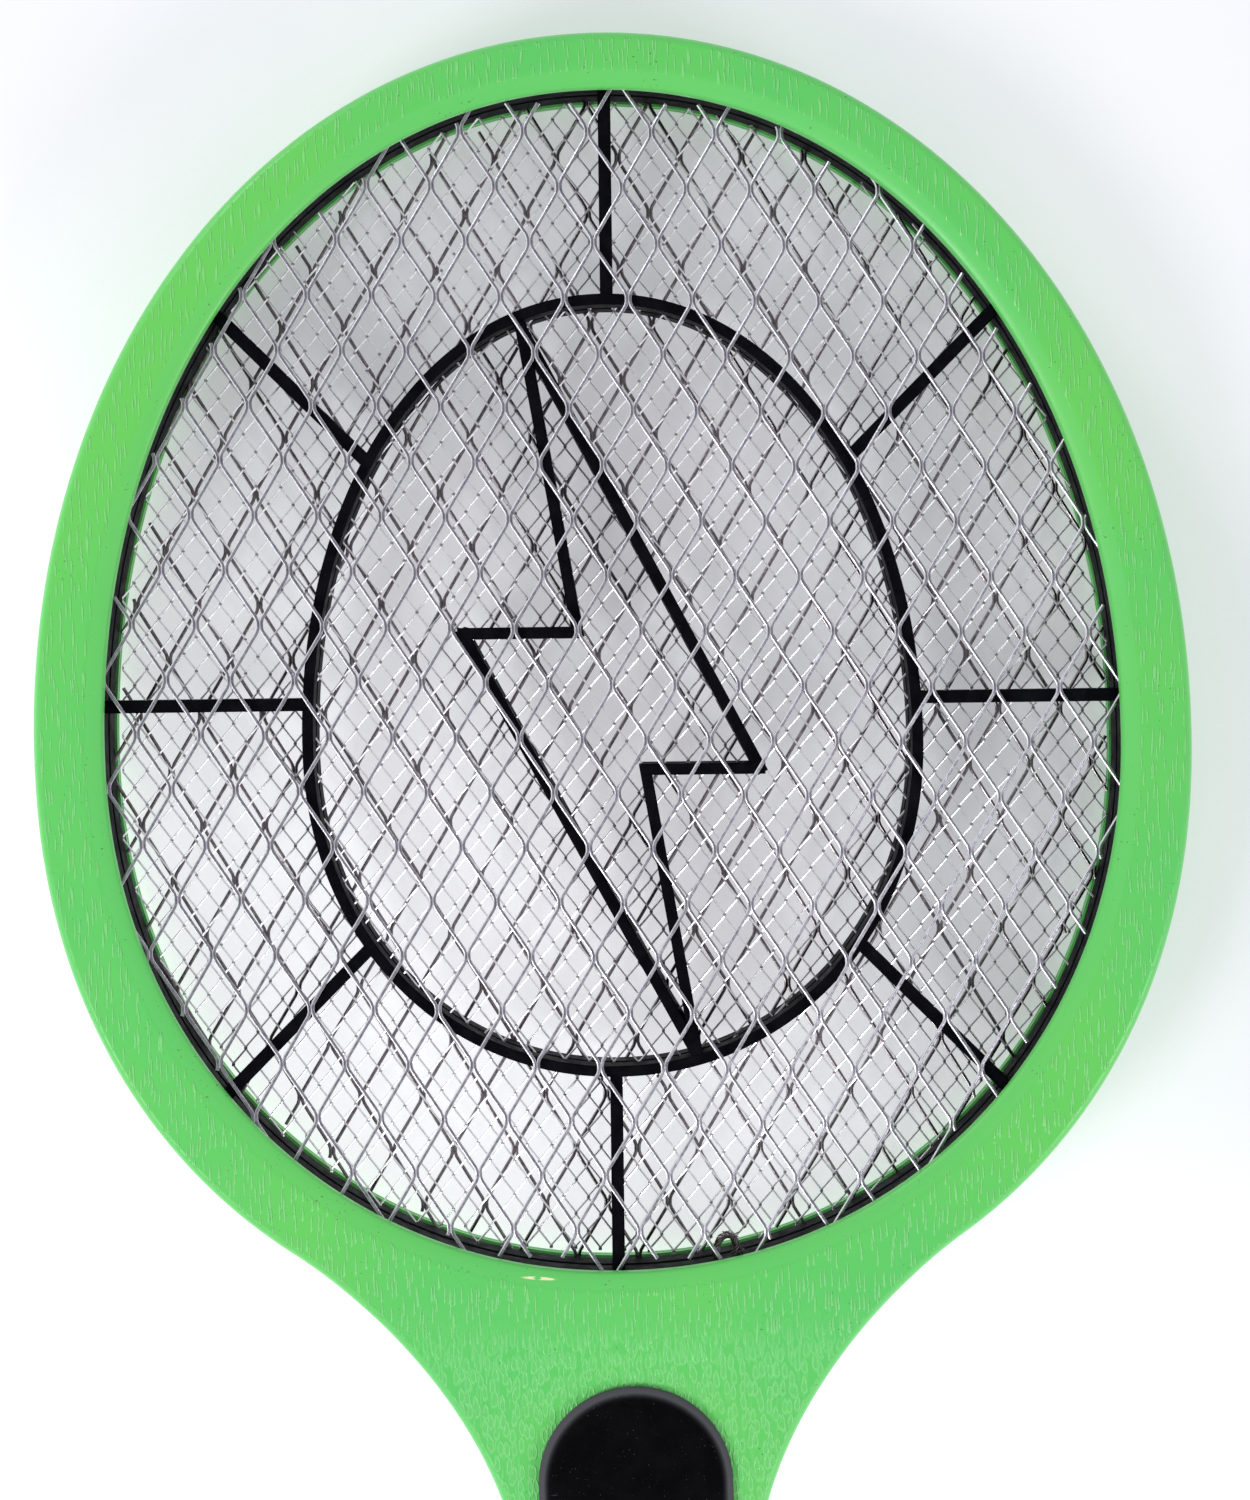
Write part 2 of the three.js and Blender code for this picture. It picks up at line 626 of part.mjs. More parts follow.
function switchPlunger() {
  return post(0, BUTTON_Y, PLUNGER.bottom, PLUNGER.top, PLUNGER.radius, 12);
}

function slideSwitchBody() {
  const { halfWidth, halfLength, top } = SLIDE_SWITCH;
  const slot = SLIDE_SWITCH_SLOT;
  const bottom = BOARD_TOP_Z + GAP;
  const body = box([-halfWidth, SLIDER_Y - halfLength, bottom], [halfWidth, SLIDER_Y + halfLength, top]);
  const slotLow = [-slot.halfWidth, SLIDER_Y - slot.halfLength, slot.floor];
  return body.subtract(box(slotLow, [slot.halfWidth, SLIDER_Y + slot.halfLength, top + 1]));
}

// Stored in its off place, at the butt end of its travel
function slideKnob() {
  const y = SLIDER_Y - SLIDER_TRAVEL / 2;
  const { bottom, halfWidth, halfLength, padTop, top } = KNOB;
  const stem = KNOB_STEM;
  const padBottom = PANEL_TOP_Z + GAP;
  const stemTop = [stem.halfWidth, y + stem.halfLength, padBottom + 0.5];
  let knob = box([-stem.halfWidth, y - stem.halfLength, bottom], stemTop);
  knob = knob.add(box([-halfWidth, y - halfLength, padBottom], [halfWidth, y + halfLength, padTop]));
  for (const step of KNOB_RIDGES.steps) {
    const low = [-halfWidth, y + step - KNOB_RIDGES.half, KNOB_RIDGES.root];
    knob = knob.add(box(low, [halfWidth, y + step + KNOB_RIDGES.half, top]));
  }
  return knob;
}

function indicatorLamp() {
  const foot = BOARD_TOP_Z + GAP;
  const profile = [
    [0, foot],
    [LAMP.flangeRadius, foot],
    [LAMP.flangeRadius, foot + LAMP.flangeThick],
    [LAMP.radius, foot + LAMP.flangeThick],
    [LAMP.radius, PANEL_TOP_Z - 0.1],
    [LAMP.shoulderRadius, PANEL_TOP_Z + 0.6],
    [0, PANEL_TOP_Z + LAMP.rise],
  ];
  return solid(turned(profile, 12).translate(0, LAMP_Y, 0));
}

// Board and the parts hanging under it
function circuitBoard() {
  let board = box([-BOARD_HALF_WIDTH, BOARD_BOTTOM_Y, BOARD_Z], [BOARD_HALF_WIDTH, BOARD_TOP_Y, BOARD_TOP_Z]);
  for (const y of BOARD_SCREW_Y) {
    board = board.subtract(post(0, y, BOARD_Z - 1, BOARD_TOP_Z + 1, PILOT_RADIUS, 8));
  }
  return board;
}

function transformerCore() {
  const y = TRANSFORMER_Y;
  const [halfX, halfY] = CORE.half;
  const [windowHalfX, windowHalfY] = CORE.windowHalf;
  let core = box([-halfX, y - halfY, CORE.bottom], [halfX, y + halfY, CORE.top]);
  for (const side of [-1, 1]) {
    const x = side * CORE.windowX;
    const low = [x - windowHalfX, y - windowHalfY, CORE.bottom - 1];
    core = core.subtract(box(low, [x + windowHalfX, y + windowHalfY, CORE.top + 1]));
  }
  return core;
}

function transformerWinding() {
  const y = TRANSFORMER_Y;
  const [halfX, halfY] = WINDING.half;
  const bore = WINDING_BORE;
  const outside = box([-halfX, y - halfY, WINDING.bottom], [halfX, y + halfY, WINDING.top]);
  const boreLow = [-bore.halfWidth, y - halfY - 1, bore.bottom];
  return outside.subtract(box(boreLow, [bore.halfWidth, y + halfY + 1, bore.top]));
}

function rod(from, to, radius, sides = 10) {
  const start = new THREE.Vector3(...from);
  const run = new THREE.Vector3(...to).sub(start);
  const cylinder = new THREE.CylinderGeometry(radius, radius, run.length(), sides);
  const turn = new THREE.Quaternion().setFromUnitVectors(new THREE.Vector3(0, 1, 0), run.clone().normalize());
  cylinder.translate(0, run.length() / 2, 0).applyQuaternion(turn);
  return solid(cylinder.translate(start.x, start.y, start.z));
}

function axialPart(x, radius) {
  const z = UNDER_BOARD_Z - radius - 0.3;
  const body = rod([x, AXIAL_Y - AXIAL.bodyHalf, z], [x, AXIAL_Y + AXIAL.bodyHalf, z], radius);
  return body.add(rod([x, AXIAL_Y - AXIAL.pinHalf, z], [x, AXIAL_Y + AXIAL.pinHalf, z], AXIAL.pinRadius, 6));
}

function discCapacitor(y) {
  return rod([DISC.x[0], y, DISC.z], [DISC.x[1], y, DISC.z], DISC.radius, 16);
}

function addBoardParts() {
  addNode("circuit_board", circuitBoard(), BOARD_GREEN);
  addNode("transformer_core", transformerCore(), FERRITE);
  addNode("transformer_winding", transformerWinding(), COPPER);
  addNode("storage_capacitor", box(STORAGE_CAPACITOR.low, STORAGE_CAPACITOR.high), RED);
  addNode("transistor", box(TRANSISTOR.low, TRANSISTOR.high), BLACK);
  DISC.y.forEach((y, i) => addNode("disc_capacitor_" + (i + 1), discCapacitor(y), TAN));
  DIODES.x.forEach((x, i) => addNode("diode_" + (i + 1), axialPart(x, DIODES.radius), BLACK));
  RESISTORS.x.forEach((x, i) => addNode("resistor_" + (i + 1), axialPart(x, RESISTORS.radius), TAN));
}

// Screws are stored with their axis along +Z and their heads towards the back.
function screw(x, y, headZ, tipZ) {
  const profile = [
    [0, headZ],
    [SCREW_HEAD_RADIUS, headZ],
    [SCREW_HEAD_RADIUS, headZ + SCREW_HEAD_THICK],
    [SHANK_RADIUS, headZ + SCREW_HEAD_THICK],
    [SHANK_RADIUS, tipZ - SCREW_POINT],
    [0, tipZ],
  ];
  return solid(turned(profile, 10).translate(x, y, 0));
}

function addScrews() {
  screwPlaces().forEach(({ x, y }, i) => {
    addNode("housing_screw_" + (i + 1), screw(x, y, GAP, FRONT_Z - LID - 2), STEEL);
  });
  BOARD_SCREW_Y.forEach((y, i) => {
    const screwShape = screw(0, y, UNDER_BOARD_Z - SCREW_HEAD_THICK, FRONT_Z - LID - 1.4);
    addNode("board_screw_" + (i + 1), screwShape, STEEL);
  });
}

// Battery tray, open to the back, with a window in its front wall for each terminal's tab
function batteryTray() {
  const [bottom, top] = TRAY_Z;
  let tray = box([-TRAY_HALF_WIDTH, TRAY_BOTTOM_Y, bottom], [TRAY_HALF_WIDTH, TRAY_TOP_Y, top]);
  const inner = TRAY_HALF_WIDTH - TRAY_WALL;
  const insideLow = [-inner, TRAY_BOTTOM_Y + TRAY_WALL, bottom - 1];
  tray = tray.subtract(box(insideLow, [inner, TRAY_TOP_Y - TRAY_WALL, top - TRAY_ROOF]));
  for (const side of [-1, 1]) {
    const x = side * CELL_X;
    const low = [x - TAB_WINDOW.half, TRAY_TOP_Y - TRAY_WALL - 1, TAB_WINDOW.low];
    tray = tray.subtract(box(low, [x + TAB_WINDOW.half, TRAY_TOP_Y + 1, TAB_WINDOW.high]));
  }
  return tray;
}

// Contact plate with a tab through the tray's front wall
function terminal(x) {
  const back = FRONT_CONTACT_Y - CONTACT_THICK;
  const plateLow = [x - CONTACT_HALF, back, CONTACT_Z[0]];
  const plate = box(plateLow, [x + CONTACT_HALF, FRONT_CONTACT_Y, CONTACT_Z[1]]);
  return plate.add(box([x - TAB.half, back, TAB.low], [x + TAB.half, TRAY_TOP_Y + TAB.reach, TAB.high]));
}

// A cell lies along Y with its positive nub at noseY and its body away from it.
function cell(x, noseY, direction) {
  const nub = NUB.height;
  const profile = [
    [0, 0],
    [NUB.radius, 0],
    [NUB.radius, nub],
    [CELL_RADIUS - 0.5, nub],
    [CELL_RADIUS, nub + 0.5],
    [CELL_RADIUS, CELL_LENGTH - 0.4],
    [CELL_RADIUS - 0.6, CELL_LENGTH],
    [0, CELL_LENGTH],
  ];
  const lying = turned(profile, 20).rotateX(direction * (Math.PI / 2));
  return solid(lying.translate(x, noseY, CELL_Z));
}

function contactSpring(x, from, to) {
  const steps = SPRING.turns * SPRING.perTurn;
  const route = Array.from({ length: steps + 1 }, (_, i) => {
    const along = i / steps;
    const radius = THREE.MathUtils.lerp(SPRING.wide, SPRING.narrow, along);
    const angle = (2 * Math.PI * i) / SPRING.perTurn;
    return [x + radius * Math.cos(angle), from + (to - from) * along, CELL_Z + radius * Math.sin(angle)];
  });
  return wire(route, SPRING.wire, steps, 4);
}

function addBattery() {
  const front = FRONT_CONTACT_Y - CONTACT_THICK;
  const rear = REAR_CONTACT_Y + CONTACT_THICK;
  const bridge = box([-BRIDGE_HALF, REAR_CONTACT_Y, CONTACT_Z[0]], [BRIDGE_HALF, rear, CONTACT_Z[1]]);
  const leftSpring = contactSpring(-CELL_X, front - SPRING.endGap, rear + CELL_LENGTH + SPRING.cellGap);
  const rightSpring = contactSpring(CELL_X, rear + SPRING.endGap, front - CELL_LENGTH - SPRING.cellGap);
  addNode("battery_tray", batteryTray(), BLACK);
  addNode("terminal_negative", terminal(-CELL_X), STEEL);
  addNode("terminal_positive", terminal(CELL_X), STEEL);
  addNode("bridge_plate", bridge, STEEL);
  addNode("battery_left", cell(-CELL_X, rear + GAP, -1), CELL_WRAP);
  addNode("battery_right", cell(CELL_X, front - GAP, 1), CELL_WRAP);
  addNode("spring_left", leftSpring, STEEL);
  addNode("spring_right", rightSpring, STEEL);
  addNode("battery_lead_negative", batteryLead(-1), BLACK);
  addNode("battery_lead_positive", batteryLead(1), RED);
}

addNode("front_shell", frontShell(), GREEN);
addNode("rear_shell", rearShell(), GREEN);
addNode("battery_cover", batteryCover(), GREEN);
addNode("front_grid", gridPlate(FRONT_GRID_Z, COARSE_THICK), GRID_METAL);
addNode("front_spacer", frontSpacer(), BLACK);
addNode("centre_grid", gridPlate(CENTRE_GRID_Z, FINE_THICK), GRID_METAL);
addNode("rear_spacer", spacerWeb(REAR_SPACER_Z), BLACK);
addNode("rear_grid", gridPlate(REAR_GRID_Z, COARSE_THICK), GRID_METAL);
addNode("grid_splice", gridSplice(), GRID_METAL);
addNode("centre_grid_lead", centreGridLead(), RED);
addNode("outer_grid_lead", outerGridLead(), BLACK);
addNode("control_panel", controlPanel(), BLACK);
addNode("push_button", pushButton(), BLACK);
addNode("switch_body", switchBody(), BLACK);
addNode("switch_plunger", switchPlunger(), STEEL);
addNode("slide_switch_body", slideSwitchBody(), STEEL);
addNode("slide_knob", slideKnob(), BLACK);
addNode("indicator_lamp", indicatorLamp(), CLEAR_RED);
addBoardParts();
addScrews();
addBattery();

export default model;
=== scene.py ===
"""Looks of the racket-type electric bug zapper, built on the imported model's frame."""
import math
import random

import bpy
import numpy as np
from mathutils import Matrix, Vector


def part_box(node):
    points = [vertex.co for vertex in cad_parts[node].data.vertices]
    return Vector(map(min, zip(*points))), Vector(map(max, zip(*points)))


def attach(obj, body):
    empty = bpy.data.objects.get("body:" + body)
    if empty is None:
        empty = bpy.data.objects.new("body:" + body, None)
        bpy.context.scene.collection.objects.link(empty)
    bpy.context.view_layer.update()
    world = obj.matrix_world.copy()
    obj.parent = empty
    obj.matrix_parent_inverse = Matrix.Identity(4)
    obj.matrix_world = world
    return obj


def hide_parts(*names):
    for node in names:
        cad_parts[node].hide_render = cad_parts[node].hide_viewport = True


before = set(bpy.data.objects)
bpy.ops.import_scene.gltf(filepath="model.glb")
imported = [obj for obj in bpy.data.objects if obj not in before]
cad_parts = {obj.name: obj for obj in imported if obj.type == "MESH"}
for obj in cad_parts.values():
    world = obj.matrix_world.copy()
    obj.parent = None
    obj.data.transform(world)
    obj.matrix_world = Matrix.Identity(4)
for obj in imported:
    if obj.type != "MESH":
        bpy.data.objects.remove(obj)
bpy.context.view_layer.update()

# Lengths are in millimetres and become metres when a mesh is made. Positions start from the frame's boxes.
MM = 0.001


def node_box(node):
    low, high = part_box(node)
    return np.array(low) / MM, np.array(high) / MM


def node_middle(node):
    low, high = node_box(node)
    return (low + high) / 2


SHELL_LOW, SHELL_HIGH = node_box("front_shell")
REAR_LOW, REAR_HIGH = node_box("rear_shell")
COVER_LOW, COVER_HIGH = node_box("battery_cover")
PANEL_LOW, PANEL_HIGH = node_box("control_panel")

TOP_Y = SHELL_HIGH[1]
BUTT_Y = SHELL_LOW[1]
HEAD_HALF = SHELL_HIGH[0]
GRIP_HALF = COVER_HIGH[0]
GRIP_FRONT_Z = SHELL_HIGH[2]
FIT_GAP = 0.3
PARTING_TOP = SHELL_LOW[2]
PARTING_BOTTOM = REAR_HIGH[2]
COVER_START_Y = REAR_LOW[1]
COVER_TOP_Y = COVER_START_Y - FIT_GAP
FRONT_Z = 22.0
LID = 3.0
WALL = 2.0
SEAT_Z = 4.0
REAR_GROWTH = 0.5
BOSS_RADIUS = 2.75
BUTT_RADIUS = 12.0
RISE_START_Y = -108.0
RISE_END_Y = -140.0
PANEL_HALF = PANEL_HIGH[0]
PANEL_TOP_Z = PANEL_HIGH[2]

# The head's ovals share a centre: half width, rise, fall, and the powers of the upper and lower halves.
OVAL_POWER = 2.06
OVAL_CENTRE_Y = 116.9
HEAD_OVAL = (HEAD_HALF, TOP_Y - OVAL_CENTRE_Y, 104.3, 2.03, 2.14)
OPENING_OVAL = (88.6, 113.4, 92.3, OVAL_POWER, OVAL_POWER)
WEB_OVAL = (54.4, 78.6, 58.5, OVAL_POWER, OVAL_POWER)
NECK_ANGLE = -56
NECK_PULLS = ((55.2, 27.1), (GRIP_HALF, 2.7))
NECK_END_Y = -37.0
WEB_CENTRE = np.array([0.0, 124.5])
WEB_TURN = math.radians(-1.07)

# ---- outlines


def oval_points(oval, grow=0.0, start=90.0, end=-270.0, steps=360):
    """Points of an oval from one angle to another, clockwise."""
    half, up, down, up_power, down_power = oval
    angles = np.radians(np.linspace(start, end, steps, endpoint=False))
    sine, cosine = np.sin(angles), np.cos(angles)
    rise = np.where(sine >= 0, up, down) + grow
    bend = 2 / np.where(sine >= 0, up_power, down_power)
    x = (half + grow) * np.sign(cosine) * np.abs(cosine) ** bend
    y = OVAL_CENTRE_Y + rise * np.sign(sine) * np.abs(sine) ** bend
    return np.stack([x, y], 1)


def inside_oval(points, oval, grow=0.0):
    half, up, down, up_power, down_power = oval
    off = points[:, 1] - OVAL_CENTRE_Y
    rise = np.where(off >= 0, up, down) + grow
    power = np.where(off >= 0, up_power, down_power)
    return (np.abs(points[:, 0]) / (half + grow)) ** power + np.abs(off / rise) ** power < 1


def unit(vectors):
    """One vector, or each row of vectors, at length 1."""
    return vectors / np.linalg.norm(vectors, axis=-1, keepdims=True)


def bezier(p0, p1, p2, p3, steps):
    t = np.linspace(0, 1, steps, endpoint=False)[:, None]
    p0, p1, p2, p3 = (np.array(p, float) for p in (p0, p1, p2, p3))
    return (1 - t) ** 3 * p0 + 3 * (1 - t) ** 2 * t * p1 + 3 * (1 - t) * t**2 * p2 + t**3 * p3


def mirrored(right):
    """Closes a right-hand outline that starts and ends on the axis with its mirror image."""
    left = right[1:-1][::-1] * [-1, 1]
    return np.concatenate([right, left])


def racket_loop():
    head = oval_points(HEAD_OVAL, 0, 90, NECK_ANGLE, 100)
    head[0, 0] = 0
    start = oval_points(HEAD_OVAL, 0, NECK_ANGLE, NECK_ANGLE - 1, 1)[0]
    neck = bezier(start, *NECK_PULLS, (GRIP_HALF, NECK_END_Y), 40)
    grip_y = np.linspace(NECK_END_Y, BUTT_Y + BUTT_RADIUS, 60, endpoint=False)
    grip = np.stack([np.full_like(grip_y, GRIP_HALF), grip_y], 1)
    turn = np.radians(np.linspace(0, -90, 14))
    corner = np.array([GRIP_HALF - BUTT_RADIUS, BUTT_Y + BUTT_RADIUS])
    butt = corner + BUTT_RADIUS * np.stack([np.cos(turn), np.sin(turn)], 1)
    return mirrored(np.concatenate([head, neck, grip, butt, [[0, BUTT_Y]]]))


def stadium_loop(half, top_y, bottom_y, steps=28):
    turn = np.radians(np.linspace(90, 0, steps))
    arc = half * np.stack([np.cos(turn), np.sin(turn)], 1)
    arc[0, 0] = 0
    right = np.concatenate([arc + [0, top_y - half], (arc * [1, -1])[::-1] + [0, bottom_y + half]])
    return mirrored(right)


def inset_loop(loop, inset):
    """Moves a clockwise loop's points inwards along their own normals."""
    before = unit(loop - np.roll(loop, 1, 0))
    after = unit(np.roll(loop, -1, 0) - loop)
    inward = unit(np.stack([before[:, 1] + after[:, 1], -before[:, 0] - after[:, 0]], 1))
    slant = np.maximum(0.5, inward[:, 0] * after[:, 1] - inward[:, 1] * after[:, 0])
    return loop + inward * (inset / slant)[:, None]


def front_height(y):
    along = np.clip((np.asarray(y) - RISE_START_Y) / (RISE_END_Y - RISE_START_Y), 0, 1)
    return FRONT_Z + (GRIP_FRONT_Z - FRONT_Z) * along * along * (3 - 2 * along)


# ---- meshes


def finish_mesh(name, points, faces, smooth_angle=35.0):
    mesh = bpy.data.meshes.new(name)
    mesh.from_pydata((np.asarray(points, float) * MM).tolist(), [], [tuple(f) for f in faces])
    mesh.update()
    return shade(bpy.data.objects.new(name, mesh), smooth_angle)


def shade(obj, smooth_angle):
    mesh = obj.data
    mesh.polygons.foreach_set("use_smooth", [True] * len(mesh.polygons))
    mesh.set_sharp_from_angle(angle=math.radians(smooth_angle))
    if obj.name not in bpy.context.scene.collection.objects:
        bpy.context.scene.collection.objects.link(obj)
    return obj


def quads_between(a, b, count):
    """Faces between two rings of vertex numbers that start at a and b."""
    i = np.arange(count)
    j = (i + 1) % count
    return np.stack([a + j, a + i, b + i, b + j], 1)


def stacked(loop, levels):
    """A closed body of insets of one symmetric loop.

    Each level is (inset, height), and a height may be a function of y.
    """
    count = len(loop)
    half = count // 2
    rings, faces = [], []
    for inset, z in levels:
        ring = inset_loop(loop, inset)
        height = z(ring[:, 1]) if callable(z) else np.full(count, z)
        rings.append(np.column_stack([ring, height]))
    for level in range(len(levels) - 1):
        faces += quads_between(level * count, (level + 1) * count, count).tolist()
    last = (len(levels) - 1) * count
    for i in range(half):
        here, after = (count - i) % count, count - i - 1
        corners = [i, i + 1, after, here]
        corners = corners[:3] if i == 0 else corners
        corners = [i, i + 1, here] if i == half - 1 else corners
        faces.append(corners)
        faces.append([last + c for c in reversed(corners)])
    return np.concatenate(rings), faces


def ring_solid(loop, section):
    """Sweeps a closed section of (inset, height) points round a loop."""
    count = len(loop)
    rings = [np.column_stack([inset_loop(loop, inset), np.full(count, z)]) for inset, z in section]
    faces = []
    for level in range(len(section)):
        faces += quads_between(level * count, ((level + 1) % len(section)) * count, count).tolist()
    return np.concatenate(rings), faces


def turned(profile, sides=48):
    """A body of revolution about +Z. The profile of (radius, height) pairs starts and ends on the axis."""
    angles = np.linspace(0, 2 * math.pi, sides, endpoint=False)
    points, faces = [[0, 0, profile[0][1]]], []
    for radius, z in profile[1:-1]:
        points += [[radius * math.cos(a), radius * math.sin(a), z] for a in angles]
    points.append([0, 0, profile[-1][1]])
    end = len(points) - 1
    for i in range(sides):
        j = (i + 1) % sides
        faces.append([0, 1 + j, 1 + i])
        faces.append([end, end - sides + i, end - sides + j])
        for level in range(len(profile) - 3):
            a = 1 + level * sides
            faces.append([a + i, a + j, a + sides + j, a + sides + i])
    return np.array(points), faces


def tube(route, radius, sides):
    """A round tube along a list of points."""
    route = np.asarray(route, float)
    tangents = unit(np.gradient(route, axis=0))
    side = np.cross(tangents[0], [0.13, 0.21, 0.97])
    points, faces = [], []
    for spot, along in zip(route, tangents):
        side = unit(side - along * side.dot(along))
        other = np.cross(along, side)
        for k in range(sides):
            turn = 2 * math.pi * k / sides
            points.append(spot + radius * (math.cos(turn) * side + math.sin(turn) * other))
    for i in range(len(route) - 1):
        for k in range(sides):
            a, b = i * sides + k, i * sides + (k + 1) % sides
            faces.append([a, b, b + sides, a + sides])
    faces.append(list(range(sides))[::-1])
    faces.append([(len(route) - 1) * sides + k for k in range(sides)])
    return np.array(points), faces


def curve_through(points, steps):
    """A smooth route through given points (Catmull-Rom)."""
    p = np.asarray(points, float)
    p = np.concatenate([[2 * p[0] - p[1]], p, [2 * p[-1] - p[-2]]])
    route = []
    for i in range(1, len(p) - 2):
        t = np.linspace(0, 1, steps, endpoint=False)[:, None]
        a, b, c, d = p[i - 1], p[i], p[i + 1], p[i + 2]
        square = 2 * a - 5 * b + 4 * c - d
        cube = 3 * b - a - 3 * c + d
        route.append(0.5 * (2 * b + (c - a) * t + square * t**2 + cube * t**3))
    return np.concatenate([*route, p[-2:-1]])


def joined(parts):
    """Several point-and-face bodies as one."""
    points, faces, start = [], [], 0
    for body_points, body_faces in parts:
        points.append(body_points)
        faces += [[start + c for c in face] for face in body_faces]
        start += len(body_points)
    return np.concatenate(points), faces


def block(low, high):
    x0, y0, z0 = low
    x1, y1, z1 = high
    points = [(x, y, z) for z in (z0, z1) for x, y in ((x0, y0), (x1, y0), (x1, y1), (x0, y1))]
    faces = [[3, 2, 1, 0], [4, 5, 6, 7], [0, 1, 5, 4], [1, 2, 6, 5], [2, 3, 7, 6], [3, 0, 4, 7]]
    return np.array(points, float), faces


def carve(obj, bodies):
    """Cuts closed bodies from obj and applies the result."""
    cutters = []
    for points, faces in bodies:
        cutter = finish_mesh(obj.name + "_cutter", points, faces)
        modifier = obj.modifiers.new("cut", "BOOLEAN")
        modifier.operation = "DIFFERENCE"
        modifier.object = cutter
        modifier.solver = "EXACT"
        cutters.append(cutter)
    apply_modifiers(obj)
    for cutter in cutters:
        bpy.data.objects.remove(cutter)
    return obj


def apply_modifiers(obj):
    bpy.context.view_layer.update()
    shaped = obj.evaluated_get(bpy.context.evaluated_depsgraph_get())
    mesh = bpy.data.meshes.new_from_object(shaped)
    obj.modifiers.clear()
    obj.data = mesh


def soften(obj, width, segments=2, angle=35.0):
    """Rounds the sharp edges, then weights the normals so that flats stay flat."""
    bevel = obj.modifiers.new("edge", "BEVEL")
    bevel.width = width * MM
    bevel.segments = segments
    bevel.limit_method = "ANGLE"
    bevel.angle_limit = math.radians(angle)
    return weigh_normals(obj)


def weigh_normals(obj):
    flats = obj.modifiers.new("flats", "WEIGHTED_NORMAL")
    flats.keep_sharp = True
    return obj


def piece(obj, body, slot, material, *nodes):
    """Puts a finished piece on its body, with its material, in place of the CAD nodes that it stands for."""
    obj.data.materials.clear()
    obj.data.materials.append(material)
    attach(obj, body)
    if nodes:
        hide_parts(*nodes)
    return obj


# ---- materials


def linear(red, green, blue):
    """Screen values from 0 to 255 as linear light."""
    values = [c / 255 for c in (red, green, blue)]
    return tuple(c / 12.92 if c <= 0.04045 else ((c + 0.055) / 1.055) ** 2.4 for c in values) + (1.0,)


class Surface:
    """A material whose nodes are added one by one and end in its Principled shader."""

    def __init__(self, name):
        self.material = bpy.data.materials.new(name)
        self.material.use_nodes = True
        self.tree = self.material.node_tree
        self.shader = self.tree.nodes["Principled BSDF"]
        self.where = self.tree.nodes.new("ShaderNodeTexCoord").outputs["Object"]
        self.bump_from = None

    def put(self, socket, value):
        if isinstance(value, bpy.types.NodeSocket):
            self.tree.links.new(value, socket)
        else:
            socket.default_value = value

    def node(self, kind, output, settings=(), **inputs):
        made = self.tree.nodes.new("ShaderNode" + kind)
        for key, value in dict(settings).items():
            setattr(made, key, value)
        for key, value in inputs.items():
            name = key.replace("_", " ")
            socket = made.inputs[int(key[1:])] if key[0] == "i" and key[1:].isdigit() else made.inputs[name]
            self.put(socket, value)
        return made.outputs[output]

    def math(self, operation, a, b=0.0, clamp=False):
        return self.node("Math", 0, {"operation": operation, "use_clamp": clamp}, i0=a, i1=b)

    def times(self, *factors):
        product = factors[0]
        for factor in factors[1:]:
            product = self.math("MULTIPLY", product, factor)
        return product

    def axis(self, letter, vector=None):
        """One coordinate of a vector, or of the place on the surface."""
        return self.node("SeparateXYZ", letter, {}, i0=self.where if vector is None else vector)

    def vector(self, operation, *inputs, output=0):
        """A vector operation. The output named Value holds a length or a dot product."""
        sockets = {f"i{index}": value for index, value in enumerate(inputs)}
        return self.node("VectorMath", output, {"operation": operation}, **sockets)

    def ramp(self, value, low, high, to_low=0.0, to_high=1.0):
        return self.node(
            "MapRange", 0, {"interpolation_type": "SMOOTHSTEP"},
            i0=value, i1=low, i2=high, i3=to_low, i4=to_high,
        )

    def noise(self, size, detail=3.0, rough=0.55, at=None, out="Fac"):
        """Noise whose features are about size millimetres wide."""
        place = self.where if at is None else at
        scale = 1 / (size * MM)
        return self.node("TexNoise", out, {}, Vector=place, Scale=scale, Detail=detail, Roughness=rough)

    def mix(self, amount, a, b):
        mixer = self.tree.nodes.new("ShaderNodeMix")
        mixer.data_type = "RGBA"
        for index, value in ((0, amount), (6, a), (7, b)):
            self.put(mixer.inputs[index], value)
        return mixer.outputs[2]

    def bump(self, height, depth):
        """Adds relief of depth millimetres under whatever relief the surface already has."""
        inputs = {"Height": height, "Distance": depth * MM, "Strength": 1.0}
        if self.bump_from is not None:
            inputs["Normal"] = self.bump_from
        self.bump_from = self.node("Bump", 0, {}, **inputs)

    def done(self, color, roughness, metallic=0.0, specular=0.5, **more):
        self.put(self.shader.inputs["Base Color"], color)
        self.put(self.shader.inputs["Roughness"], roughness)
        self.put(self.shader.inputs["Metallic"], metallic)
        self.shader.inputs["Specular IOR Level"].default_value = specular
        for key, value in more.items():
            self.put(self.shader.inputs[key.replace("_", " ")], value)
        if self.bump_from is not None:
            self.put(self.shader.inputs["Normal"], self.bump_from)
        return self.material


def edge_dirt(s, size, amount):
    """Sparse small spots: where fine noise peaks inside patches of coarse noise."""
    fine = s.ramp(s.noise(size, 2.0, 0.5), 0.66, 0.74)
    patch = s.ramp(s.noise(size * 14, 2.0, 0.5), 0.5, 0.62)
    return s.times(fine, patch, amount)


